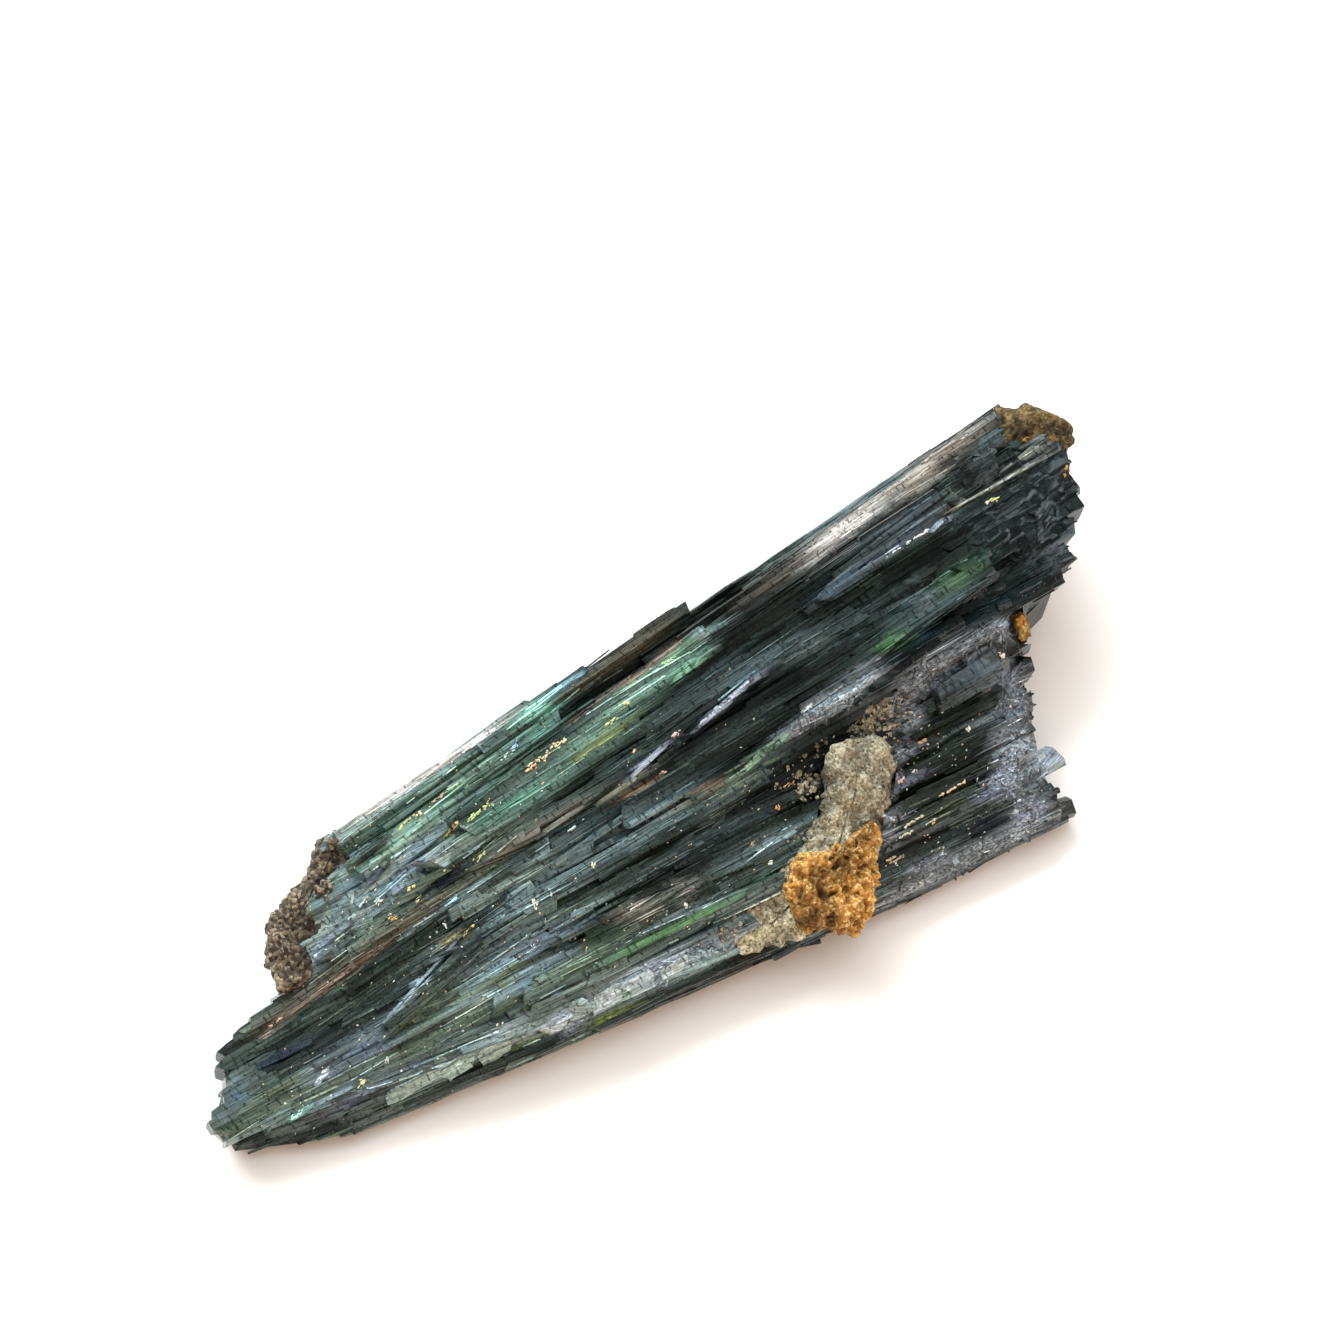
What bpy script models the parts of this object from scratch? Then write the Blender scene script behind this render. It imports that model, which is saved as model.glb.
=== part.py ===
"""A shard of vivianite: one radiating sheaf of intergrown bladed crystals, with the sandy matrix, limonite and
clay that cling to it. Blender 4.5, metres, +Z up. X runs from the narrow end to the wide end, and the shard lies
on its underside on z = 0.

The broad upper side of the shard is a gently dipping plane. Everything is laid out on that plane in
millimetres: a runs along the shard, b across it from the front edge to the back edge, h out of it. The layout is
oblique: a point that lies off the plane by h is moved along the plane by LEAN times h.
"""

import math
import random

import bmesh
import bpy
import numpy as np
from mathutils import Matrix, Vector

MM = 0.001

# How the broad side lies: turned about Z, dipping towards the front, this high above the surface at its origin
FACE_STRIKE = math.radians(-9.5)
FACE_DIP = math.radians(16.0)
FACE_ORIGIN = Vector((-1.442, -1.17, 6.58))
LEAN = (-0.34, -0.42)

# The body that the crystals grow from: a along it, then where its front and back edges are across it
BODY_SPAN = (
    (-26.6, -6.2, -3.9),
    (-23.0, -7.4, -1.7),
    (-21.0, -7.9, 1.4),
    (-17.0, -8.1, 4.7),
    (-10.0, -7.8, 6.3),
    (0.0, -7.5, 8.4),
    (10.0, -7.4, 10.2),
    (17.0, -6.6, 11.8),
    (19.3, 0.4, 12.5),
    (21.4, 4.2, 13.0),
    (24.0, 5.4, 13.5),
    (26.6, 10.0, 12.9),
)
BODY_DEPTH_UNDER_BLADES = 0.4
UNDERSIDE_LIFT = 0.9  # the body itself stays this far off the surface; foot blades reach it
EDGE_DROP = 1.5
BODY_LEAST = 1.0  # how thick it is at least, at its edges

# The relief of the broad side
NARROW_END_DROOP = 2.6
FRONT_EDGE_FALL = 1.7
BACK_EDGE_FALL = 1.3
LOWER_GROUP_SINK = 1.4
PARTING_SLOPE = 0.195  # the parting between the upper and the lower group of crystals, b over a
PARTING_AT_ORIGIN = -0.2

# Crystals: a and b of the root end, a and b of the free end, width, thickness, rise above the relief, roll.
# Roll is in degrees, and positive where the flat side leans towards the front edge.
UPPER_CRYSTALS = (
    (3.0, 7.9, 25.0, 13.9, 2.2, 3.2, 0.9, -6),
    (8.0, 10.5, 25.2, 14.9, 1.9, 2.6, 0.6, -44),
    (4.0, 7.0, 23.4, 12.2, 1.9, 2.4, 0.8, 26),
    (17.0, 11.0, 26.6, 13.0, 1.9, 2.6, 0.4, -4),
    (15.0, 9.9, 27.2, 12.0, 1.4, 2.2, 0.5, 14),
    (13.0, 8.8, 27.1, 11.0, 1.5, 2.4, 0.4, 4),
    (9.0, 7.2, 26.8, 9.8, 1.9, 2.4, 0.5, 18),
    (11.0, 6.4, 26.6, 8.6, 1.4, 2.2, 0.3, 2),
    (11.0, 5.4, 25.6, 7.3, 1.6, 2.4, 0.5, 20),
    (12.0, 4.6, 24.6, 6.0, 1.5, 2.2, 0.6, 12),
    (6.0, 2.4, 23.6, 5.0, 1.5, 2.4, 0.7, 32),
    (10.5, 8.1, 19.4, 10.0, 0.9, 2.2, 1.3, 10),
    (13.5, 9.4, 20.4, 11.4, 1.1, 2.2, 1.2, -8),
    (11.0, 4.2, 20.4, 7.1, 2.0, 1.8, 0.8, 8),
    (0.5, 0.9, 17.5, 4.2, 1.2, 2.0, 0.7, 40),
    (4.4, 9.3, 10.4, 11.0, 1.3, 1.8, 0.4, -20),
    (5.8, 10.0, 12.2, 11.3, 0.6, 1.0, 0.2, -10),
)
SHEAF_CRYSTALS = (
    (-16.9, 5.3, -1.3, 9.1, 1.4, 1.8, 0.4, -24),
    (-16.4, 3.6, -3.6, 7.3, 1.7, 2.0, 0.6, -6),
    (-8.0, 7.2, 5.0, 10.5, 1.5, 2.2, 0.6, -14),
    (-10.5, 3.6, 5.3, 8.5, 2.2, 2.2, 0.9, 6),
    (-12.5, 2.4, 0.0, 5.6, 1.5, 1.8, 0.6, 16),
    (-19.6, 2.6, -8.0, 4.8, 1.3, 1.8, 0.5, -10),
    (-21.2, 1.6, -9.0, 3.1, 1.3, 1.8, 0.4, 10),
    (-21.8, 0.4, -7.0, 2.4, 1.3, 2.0, 0.6, -6),
    (-23.1, -1.8, -2.0, 3.2, 1.5, 2.2, 0.6, 12),
    (-25.2, -2.9, -7.0, 1.2, 1.4, 2.2, 0.5, -4),
    (-26.0, -3.9, -5.0, 0.4, 1.4, 2.2, 0.6, 18),
    (-6.0, 1.2, 12.5, 5.5, 1.8, 2.4, 0.5, 10),
    (-4.5, 2.9, 8.5, 6.5, 1.6, 2.2, 0.6, -8),
    (1.6, 3.9, 6.8, 5.7, 0.7, 2.0, 1.2, 20),
    (0.0, 5.0, 13.6, 8.3, 1.6, 2.2, 0.5, 12),
    (5.6, 5.3, 12.8, 7.1, 2.0, 2.0, 0.7, -4),
    (-3.0, 1.2, 7.6, 3.3, 1.4, 2.0, 0.8, 24),
    (5.6, 2.2, 11.4, 3.5, 1.8, 2.0, 0.6, 30),
    (-26.2, -4.8, -8.6, -0.6, 1.4, 2.2, 0.5, -6),
    (-26.7, -5.6, -8.0, -1.8, 1.4, 2.2, 0.5, 8),
    (-28.3, -6.3, -9.0, -3.1, 1.4, 2.2, 0.5, -2),
    (-27.8, -6.8, -7.6, -4.4, 1.2, 2.0, 0.4, 12),
    (-25.6, -7.0, -6.0, -5.5, 1.4, 2.2, 0.5, 24),
    (-19.0, -4.9, -12.0, -1.6, 0.6, 2.2, 1.1, -12),
)
LOWER_CRYSTALS = (
    (-10.0, -1.2, 4.6, 0.6, 1.6, 2.2, 0.5, 6),
    (-9.0, -2.5, 6.4, -0.7, 1.6, 2.2, 0.4, -8),
    (-7.4, -3.7, 6.8, -2.0, 1.7, 2.2, 0.5, 4),
    (-8.6, -4.7, 5.0, -3.5, 1.4, 2.0, 0.4, 14),
    (-11.5, -5.6, 3.6, -4.9, 1.2, 2.0, 0.6, 20),
    (-24.6, -7.0, -11.4, -6.9, 1.8, 2.4, 0.4, 42),
    (-11.8, -6.8, 0.8, -6.9, 2.2, 2.6, 0.4, 46),
    (-23.4, -7.4, -11.8, -7.2, 1.3, 2.0, -0.9, 60),
    (-19.6, -7.8, -12.6, -7.7, 1.0, 1.8, -1.5, 70),
    (10.5, 1.4, 20.1, 3.1, 1.8, 2.2, 0.4, 16),
    (14.6, 1.3, 18.4, 2.1, 1.8, 1.6, 0.9, -10),
    (16.8, 2.0, 20.3, 2.5, 1.4, 2.4, 0.7, 8),
    (12.0, -0.1, 20.0, 1.0, 1.4, 2.2, 0.5, 20),
    (10.6, -1.2, 19.0, -0.3, 1.4, 2.2, 0.3, -4),
    (8.8, -2.5, 18.2, -1.7, 1.5, 2.4, 0.6, 14),
    (8.6, -3.8, 17.8, -2.9, 1.5, 2.4, 0.5, -6),
    (8.2, -4.9, 17.6, -4.2, 1.3, 2.2, 0.4, 12),
    (7.0, -6.0, 17.6, -5.3, 1.4, 2.2, 0.3, 2),
    (6.6, -6.9, 17.6, -6.3, 1.4, 2.4, 0.4, 34),
    (5.8, -7.3, 17.4, -7.2, 1.6, 2.4, 0.0, 58),
    (15.2, -4.4, 18.9, -4.0, 1.6, 0.9, 0.1, 6),
    (13.6, -6.5, 18.3, -7.0, 1.3, 1.6, -0.6, 24),
    (0.8, -7.9, 5.6, -8.5, 1.5, 2.4, -1.1, 62),
)

# Crystals between those listed, laid by a loop: their count, the range of their lengths, and where the broken end
# of the shard is, a over b
MINOR_CRYSTALS = 42
MINOR_LENGTH = (6.0, 13.0)
BROKEN_END = ((-8.0, 15.5), (-3.0, 16.4), (0.0, 17.4), (3.4, 18.9), (5.0, 21.8), (8.0, 24.4), (13.0, 26.0))

# Crystals on the hidden sides, laid by loops: their count and the range of their lengths
BACK_CRYSTALS = 26
UNDERSIDE_CRYSTALS = 28
END_CRYSTALS = 30
HIDDEN_LENGTH = (9.0, 22.0)
END_LENGTH = (4.0, 7.0)
# Long blades of the underside that reach the surface: a and b of both ends, and width
FOOT_CRYSTALS = (
    (-22.6, -4.4, -5.0, -3.4, 2.8),
    (-6.0, -4.2, 16.5, -3.4, 3.4),
    (-12.0, 2.0, 8.0, 5.0, 3.0),
    (4.0, 6.2, 22.0, 9.8, 3.6),
)
# Short blades that fill the places where longer ones would leave a closed hollow between them: a, b, h, length
FILLING_CRYSTALS = (
    (5.2, 4.6, -0.6, 2.4),
    (5.7, 9.1, -1.5, 2.4),
    (26.7, 13.2, -5.5, 3.0),
)
FILLING_WIDTH = 1.0

# Matrix lumps: the outline around each in a and b, the line along its middle, h of its top at b = 0 and how much
# the top falls per millimetre of b, its thickness, then how rough it is
SANDY_CHIP = {
    "outline": (
        (10.6, -0.4), (10.3, 0.4), (9.4, 0.75), (8.2, 0.6), (7.1, -0.2), (6.9, -1.1), (6.5, -2.2), (5.8, -3.3),
        (4.0, -4.3), (2.2, -4.9), (0.3, -5.9), (-1.2, -6.9), (-0.5, -7.7), (1.5, -8.0), (4.0, -7.6), (6.0, -6.6),
        (7.8, -5.0), (8.6, -3.7), (9.6, -2.7), (10.4, -1.5),
    ),
    "spine": ((9.0, -0.5), (8.0, -2.2), (5.4, -5.0), (0.8, -7.0)),
    "top": 0.5,
    "fall": 0.26,
    "thickness": 2.6,
    "roughness": 0.15,
    "spacing": 0.8,
    "seed": 3,
}
LIMONITE_CRUST = {
    "outline": (
        (8.3, -3.6), (6.7, -4.0), (5.0, -4.3), (3.6, -4.5), (2.8, -5.7), (2.7, -6.5), (2.1, -7.5), (3.7, -8.3),
        (4.8, -9.1), (5.8, -8.3), (6.6, -7.3), (7.3, -6.0), (8.0, -4.6),
    ),
    "spine": ((6.6, -5.0), (4.9, -6.8)),
    "top": 2.2,
    "fall": 0.3,
    "thickness": 2.4,
    "roughness": 0.3,
    "spacing": 0.6,
    "seed": 5,
}
LIMONITE_CAP = {
    "outline": (
        (24.3, 13.2), (25.0, 14.7), (26.5, 14.5), (27.5, 13.8), (28.0, 12.9), (27.9, 11.9), (27.3, 12.0),
        (26.6, 12.9), (25.4, 13.2),
    ),
    "spine": ((25.4, 13.8), (27.0, 13.2), (27.6, 12.5)),
    "top": -0.6,
    "fall": 0.0,
    "thickness": 1.8,
    "roughness": 0.16,
    "spacing": 0.9,
    "seed": 11,
}
OCHRE_GRAIN = {
    "outline": ((20.9, 3.3), (20.8, 3.9), (20.2, 3.9), (19.8, 3.2), (20.0, 2.4), (20.6, 2.3)),
    "spine": ((20.4, 3.4), (20.4, 2.9)),
    "top": -1.4,
    "fall": 0.0,
    "thickness": 1.2,
    "roughness": 0.1,
    "spacing": 0.7,
    "seed": 13,
}
CLAY_RIM = {
    "outline": (
        (-21.9, -0.9), (-21.4, 0.4), (-20.9, 1.6), (-19.4, 2.7), (-18.2, 3.6), (-16.9, 4.6), (-16.6, 5.4),
        (-17.8, 5.4), (-18.9, 4.1), (-20.3, 3.0), (-21.8, 2.4), (-22.6, 0.4), (-22.5, -0.9),
    ),
    "spine": ((-22.1, -0.5), (-21.8, 0.9), (-21.2, 2.0), (-19.8, 2.9), (-18.4, 4.0), (-17.3, 5.1)),
    "top": -2.0,
    "fall": -0.1,
    "thickness": 2.2,
    "roughness": 0.26,
    "spacing": 0.7,
    "seed": 17,
}
# A lump's section: the share of the way from the line along its middle to its outline, and the share of its
# thickness below the top
LUMP_SECTION = ((0.25, 0.0), (0.6, 0.02), (0.9, 0.07), (1.0, 0.28), (0.97, 0.66), (0.7, 1.0))
GRAIN_SIZE = 0.9  # the spacing of a lump's bumps
POCKET_GAP = 0.3
POCKET_SPACING = 2.0

COLOURS = {
    "vivianite": ((0.018, 0.045, 0.036), 0.22),
    "sandy_matrix": ((0.26, 0.24, 0.16), 0.95),
    "limonite": ((0.48, 0.20, 0.035), 0.95),
    "clay": ((0.30, 0.23, 0.14), 0.95),
}


def clear_scene():
    for obj in list(bpy.data.objects):
        bpy.data.objects.remove(obj)


def face_to_world():
    """The matrix that takes a, b, h in millimetres to the world in metres."""
    turn = Matrix.Rotation(FACE_STRIKE, 4, "Z") @ Matrix.Rotation(FACE_DIP, 4, "X")
    return Matrix.Translation(FACE_ORIGIN * MM) @ turn @ Matrix.Scale(MM, 4)


FACE = face_to_world()


def smooth(start, end, value):
    """0 at start, 1 at end, with level tangents."""
    t = min(1.0, max(0.0, (value - start) / (end - start)))
    return t * t * (3 - 2 * t)


def edges_at(a):
    """b of the body's front edge and of its back edge."""
    along, front, back = zip(*BODY_SPAN)
    return float(np.interp(a, along, front)), float(np.interp(a, along, back))


def surface_height(b, above=0.0):
    """h of the plane that the shard lies on, or of one above it."""
    return (above - FACE_ORIGIN.z - b * math.sin(FACE_DIP)) / math.cos(FACE_DIP)


def at(a, b, h):
    """The point of the oblique layout at a, b that lies off the plane by h."""
    return (a + LEAN[0] * h, b + LEAN[1] * h, h)


def relief(a, b):
    """h of the broad side: it droops to the narrow end and the edges, and the lower group lies deeper."""
    front, back = edges_at(a)
    droop = -NARROW_END_DROOP * smooth(-11.0, -28.0, a)
    taper = smooth(-28.0, -15.0, a)
    front_fall = -FRONT_EDGE_FALL * taper * (1 - smooth(front - 1.0, front + 3.0, b))
    back_fall = -BACK_EDGE_FALL * (1 - smooth(back + 1.0, back - 3.0, b))
    parting = PARTING_AT_ORIGIN + PARTING_SLOPE * a
    sink = -LOWER_GROUP_SINK * smooth(-2.0, 7.0, a) * smooth(parting + 0.5, parting - 0.5, b)
    return droop + front_fall + back_fall + sink


def new_object(name, mesh, material=None):
    obj = bpy.data.objects.new(name, mesh)
    bpy.context.scene.collection.objects.link(obj)
    if material:
        mesh.materials.append(material)
    return obj


def make_material(name):
    colour, roughness = COLOURS[name]
    material = bpy.data.materials.new(name)
    material.use_nodes = True
    shader = material.node_tree.nodes["Principled BSDF"]
    shader.inputs["Base Color"].default_value = (*colour, 1.0)
    shader.inputs["Roughness"].default_value = roughness
    return material


def mesh_from(name, points, faces, flat_faces=False):
    """A closed mesh from points in a, b, h, placed in the world, with its faces pointing out. Faces that may be
    bent are split into triangles."""
    bm = bmesh.new()
    verts = [bm.verts.new(FACE @ Vector(p)) for p in points]
    for face in faces:
        bm.faces.new([verts[i] for i in face])
    if not flat_faces:
        bmesh.ops.triangulate(bm, faces=bm.faces)
    bmesh.ops.recalc_face_normals(bm, faces=bm.faces)
    mesh = bpy.data.meshes.new(name)
    bm.to_mesh(mesh)
    bm.free()
    return mesh


def ring_faces(rings, size):
    """The faces of a tube of rings with both ends capped."""
    faces = [tuple(range(size)), tuple(range((rings - 1) * size, rings * size))]
    for r in range(rings - 1):
        for i in range(size):
            j = (i + 1) % size
            faces.append((r * size + i, r * size + j, (r + 1) * size + j, (r + 1) * size + i))
    return faces


def body_section(a):
    """The body's outline at one place along it: under the blades above, clear of the surface below."""
    front, back = edges_at(a)
    width = back - front
    top, bottom = [], []
    for share in (0.0, 0.1, 0.28, 0.46, 0.6, 0.78, 0.92, 1.0):
        b = front + share * width
        drop = EDGE_DROP if share in (0.0, 1.0) else 0.0
        lowest = surface_height(b, UNDERSIDE_LIFT + BODY_LEAST)
        top.append(at(a, b, max(relief(a, b) - BODY_DEPTH_UNDER_BLADES - drop, lowest)))
    for share, above in ((0.98, 3.2), (0.86, 0.0), (0.5, 0.3), (0.16, 0.0), (0.03, 1.4)):
        b = front + share * width
        ceiling = max(relief(a, b) - BODY_DEPTH_UNDER_BLADES - EDGE_DROP, surface_height(b, UNDERSIDE_LIFT))
        bottom.append((a, b, min(surface_height(b, UNDERSIDE_LIFT + above), ceiling)))
    return top + bottom


def build_body(material):
    sections = [body_section(row[0]) for row in BODY_SPAN]
    size = len(sections[0])
    points = [p for section in sections for p in section]
    mesh = mesh_from("vivianite_crystals", points, ring_faces(len(sections), size))
    return new_object("vivianite_crystals", mesh, material)


def crystal_points(root, tip, width, thickness, roll, rng):
    """One blade: a flattened six-sided prism from root to tip, each a point in a, b, h on its upper side.
    Its ends are flat breaks, each at its own slant."""
    root, tip = Vector(root), Vector(tip)
    along = (tip - root).normalized()
    side = Vector((0, 0, 1)).cross(along).normalized()
    out = along.cross(side)
    angle = math.radians(roll)
    across = side * math.cos(angle) + out * math.sin(angle)
    normal = out * math.cos(angle) - side * math.sin(angle)
    half, bevel = width / 2, width * rng.uniform(0.14, 0.26)
    outline = (
        (half, -0.45 * thickness), (half - bevel, 0.0), (-half + bevel, 0.0),
        (-half, -0.4 * thickness), (-half + bevel, -thickness), (half - bevel, -thickness),
    )
    points = []
    for place, taper in ((root, rng.uniform(0.7, 0.9)), (tip, rng.uniform(0.85, 1.0))):
        slant, pitch = rng.uniform(-0.7, 0.7), rng.uniform(-0.35, 0.35)
        for v, n in outline:
            v, n = v * taper, n * taper
            points.append(place + across * v + normal * n + along * (slant * v + pitch * n))
    return points


def add_blade(group, points):
    mesh = mesh_from("blade", points, ring_faces(2, 6), flat_faces=True)
    blade = bpy.data.objects.new(f"blade_{len(group.objects):03d}", mesh)
    blade.hide_render = True
    blade.display_type = "WIRE"
    group.objects.link(blade)


def add_face_crystals(group, rng):
    """The crystals that show on the broad side."""
    for a0, b0, a1, b1, width, thickness, rise, roll in UPPER_CRYSTALS + SHEAF_CRYSTALS + LOWER_CRYSTALS:
        root = at(a0, b0, relief(a0, b0) + rise)
        tip = at(a1, b1, relief(a1, b1) + rise)
        add_blade(group, crystal_points(root, tip, width, thickness, roll, rng))


def growth_angle(a, b):
    """The slope at which the crystals run: they fan out from the front edge to the back edge."""
    parting = PARTING_AT_ORIGIN + PARTING_SLOPE * a
    return math.radians(np.interp(b - parting, (-6.0, 0.0, 3.0), (4.5, 11.0, 13.0)))


def add_minor_crystals(group, rng):
    """Lower blades between the ones listed, along the growth direction, in rows across the broad side."""
    for k in range(MINOR_CRYSTALS):
        length = rng.uniform(*MINOR_LENGTH)
        middle = rng.uniform(-25.0 + length / 2, 24.0 - length / 2)
        front, back = edges_at(middle)
        b = front + 0.8 + (back - front - 1.8) * ((k % 7 + rng.random()) / 7)
        middle = min(middle, np.interp(b, *zip(*BROKEN_END)) - length / 2)
        angle = growth_angle(middle, b)
        ends = []
        for way in (-0.5, 0.5):
            x, y = middle + way * length * math.cos(angle), b + way * length * math.sin(angle)
            ends.append(at(x, y, relief(x, y) + rng.uniform(-0.05, 0.3)))
        add_blade(group, crystal_points(ends[0], ends[1], rng.uniform(0.9, 1.6), 1.6, rng.uniform(-30, 34), rng))


def add_back_crystals(group, rng):
    """Blades along the steep back edge, in rows from the crest down to the underside."""
    for k in range(BACK_CRYSTALS):
        depth = (k % 6 + rng.random()) / 6
        length = rng.uniform(*HIDDEN_LENGTH)
        a0 = rng.uniform(-19.0, 26.0 - length)
        ends = []
        for a in (a0, a0 + length):
            back = edges_at(a)[1]
            top = relief(a, back) - BODY_DEPTH_UNDER_BLADES - 0.4
            floor = surface_height(back, 1.6)
            b = back + 0.45 - 1.5 * depth ** 2
            ends.append((a, b, top + (floor - top) * depth))
        add_blade(group, crystal_points(ends[0], ends[1], rng.uniform(1.3, 2.3), rng.uniform(1.6, 2.4),
                                        -70 - 40 * depth + rng.uniform(-14, 14), rng))


def add_underside_crystals(group, rng):
    """Blades under the shard, flat side down. The foot blades are the ones that it lies on."""
    for a0, b0, a1, b1, width in FOOT_CRYSTALS:
        root = (a0, b0, surface_height(b0, -0.25))
        tip = (a1, b1, surface_height(b1, -0.25))
        add_blade(group, crystal_points(root, tip, width, 2.6, 180 + math.degrees(FACE_DIP), rng))
    for k in range(UNDERSIDE_CRYSTALS):
        share = (k + rng.random()) / UNDERSIDE_CRYSTALS
        length = rng.uniform(*HIDDEN_LENGTH)
        a0 = rng.uniform(-24.0, 17.0 - length)
        ends = []
        for a in (a0, a0 + length):
            front, back = edges_at(a)
            b = front + (0.05 + 0.9 * share) * (back - front)
            ends.append((a, b, surface_height(b, UNDERSIDE_LIFT - 0.5 + 2.0 * abs(share - 0.5) ** 2)))
        add_blade(group, crystal_points(ends[0], ends[1], rng.uniform(1.2, 2.2), 2.0, 196 + rng.uniform(-16, 16), rng))


def add_end_crystals(group, rng):
    """Broken ends of blades, in rows down the wide end, under the ones that show on the broad side."""
    for k in range(END_CRYSTALS):
        b = -6.6 + 19.0 * (k % 10 + rng.random()) / 10
        tip = np.interp(b, *zip(*BROKEN_END)) + rng.uniform(0.5, 1.5)
        root = tip - rng.uniform(*END_LENGTH)
        high = relief(tip - 2.0, b) - 1.2
        depth = (k // 10 + rng.random()) / (END_CRYSTALS // 10)
        h = high + (surface_height(b, 2.6) - high) * depth
        slope = 0.12 * (tip - root)
        add_blade(group, crystal_points(at(root, b - slope, h), at(tip, b, h), rng.uniform(1.3, 2.2),
                                        rng.uniform(1.4, 2.2), rng.uniform(-30, 30), rng))


def add_filling_crystals(group, rng):
    for a, b, h, length in FILLING_CRYSTALS:
        top = h + FILLING_WIDTH / 2
        root, tip = (a - length / 2, b, top), (a + length / 2, b, top)
        add_blade(group, crystal_points(root, tip, FILLING_WIDTH, FILLING_WIDTH, 0, rng))


def lattice_noise(points, seed):
    """Smooth noise from -1 to 1 at each point: random values on a unit lattice, blended between corners."""
    table = np.random.default_rng(seed).uniform(-1, 1, (32, 32, 32))
    cell = np.floor(points).astype(int)
    part = points - cell
    part = part * part * (3 - 2 * part)
    total = np.zeros(len(points))
    for dx in (0, 1):
        for dy in (0, 1):
            for dz in (0, 1):
                weight = np.prod(np.where((dx, dy, dz), part, 1 - part), axis=1)
                corner = (cell + (dx, dy, dz)) % 32
                total += weight * table[corner[:, 0], corner[:, 1], corner[:, 2]]
    return total


def resampled(outline, spacing):
    """A closed outline with each straight side divided into steps of about this length."""
    points = []
    for start, end in zip(outline, outline[1:] + outline[:1]):
        count = max(1, round(math.dist(start, end) / spacing))
        points.append(np.linspace(start, end, count, endpoint=False))
    return np.concatenate(points)


def nearest_on_line(points, line):
    """For each point, the nearest point on a line of straight pieces."""
    line = np.array(line)
    best = np.full(len(points), np.inf)
    found = np.zeros_like(points)
    for start, end in zip(line[:-1], line[1:]):
        run = end - start
        share = np.clip((points - start) @ run / (run @ run), 0, 1)
        spot = start + share[:, None] * run
        distance = np.hypot(*(points - spot).T)
        nearer = distance < best
        best[nearer] = distance[nearer]
        found[nearer] = spot[nearer]
    return found


def lump_mesh(name, lump, spacing, grown=0.0):
    """A lump of matrix as rings, each its outline drawn in towards the line along its middle, with both ends
    capped. Noise pushes the surface in and out."""
    outline = resampled(lump["outline"], spacing)
    middle = nearest_on_line(outline, lump["spine"])
    away = outline - middle
    away *= 1 + grown / np.maximum(np.hypot(*away.T), 0.3)[:, None]
    rings = []
    for share, depth in LUMP_SECTION:
        a, b = (middle + share * away).T
        top = lump["top"] + lump["fall"] * b + grown * (1 - 2 * depth)
        rings.append(np.column_stack(at(a, b, top - depth * lump["thickness"])))
    points = np.concatenate(rings)
    centre = points.mean(axis=0)
    outward = points - centre
    outward /= np.linalg.norm(outward, axis=1)[:, None]
    if not grown:
        coarse = lattice_noise(points / GRAIN_SIZE + 50, lump["seed"])
        fine = lattice_noise(points * 2.1 / GRAIN_SIZE + 90, lump["seed"] + 1)
        points += outward * (lump["roughness"] * (coarse + 0.6 * fine))[:, None]
    return mesh_from(name, points, ring_faces(len(rings), len(outline)))


def add_cutter(name, mesh):
    cutter = new_object(name, mesh)
    cutter.hide_render = True
    cutter.display_type = "WIRE"
    return cutter


def cut(obj, cutter):
    modifier = obj.modifiers.new(f"less_{cutter.name}", "BOOLEAN")
    modifier.operation = "DIFFERENCE"
    modifier.solver = "MANIFOLD"
    modifier.object = cutter


def surface_cutter():
    """A slab under z = 0, which gives the foot blades the flat facets that the shard lies on."""
    bm = bmesh.new()
    bmesh.ops.create_cube(bm, size=1.0)
    bmesh.ops.scale(bm, vec=(90 * MM, 60 * MM, 10 * MM), verts=bm.verts)
    bmesh.ops.translate(bm, vec=(0, 0, -5 * MM), verts=bm.verts)
    mesh = bpy.data.meshes.new("surface")
    bm.to_mesh(mesh)
    bm.free()
    return add_cutter("surface", mesh)


def build_crystals(material):
    """All the vivianite, one solid: the body with every blade joined to it, cut flat where it rests."""
    rng = random.Random(41)
    body = build_body(material)
    group = bpy.data.collections.new("blades")
    group.hide_render = True
    bpy.context.scene.collection.children.link(group)
    add_face_crystals(group, rng)
    add_minor_crystals(group, rng)
    add_back_crystals(group, rng)
    add_underside_crystals(group, rng)
    add_end_crystals(group, rng)
    add_filling_crystals(group, rng)
    join = body.modifiers.new("join_blades", "BOOLEAN")
    join.operation = "UNION"
    join.solver = "MANIFOLD"
    join.operand_type = "COLLECTION"
    join.collection = group
    cut(body, surface_cutter())
    return body


def build_matrix(crystals):
    """The lumps that cling to the crystals. Each sits in a pocket of its own form, a little larger."""
    limonite = make_material("limonite")
    parts = (
        ("sandy_matrix", SANDY_CHIP, make_material("sandy_matrix")),
        ("limonite_crust", LIMONITE_CRUST, limonite),
        ("limonite_cap", LIMONITE_CAP, limonite),
        ("ochre_grain", OCHRE_GRAIN, limonite),
        ("clay_rim", CLAY_RIM, make_material("clay")),
    )
    made = {}
    for name, lump, material in parts:
        made[name] = new_object(name, lump_mesh(name, lump, lump["spacing"]), material)
        room = POCKET_GAP + 0.6 * lump["roughness"]
        pocket = add_cutter(f"pocket_{name}", lump_mesh(name, lump, POCKET_SPACING, room))
        cut(crystals, pocket)
        if name == "limonite_crust":
            cut(made["sandy_matrix"], pocket)
    return made


clear_scene()
build_matrix(build_crystals(make_material("vivianite")))
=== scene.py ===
import math

import bmesh
import bpy
import numpy as np
from mathutils import Matrix, Vector
from mathutils.bvhtree import BVHTree


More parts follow.
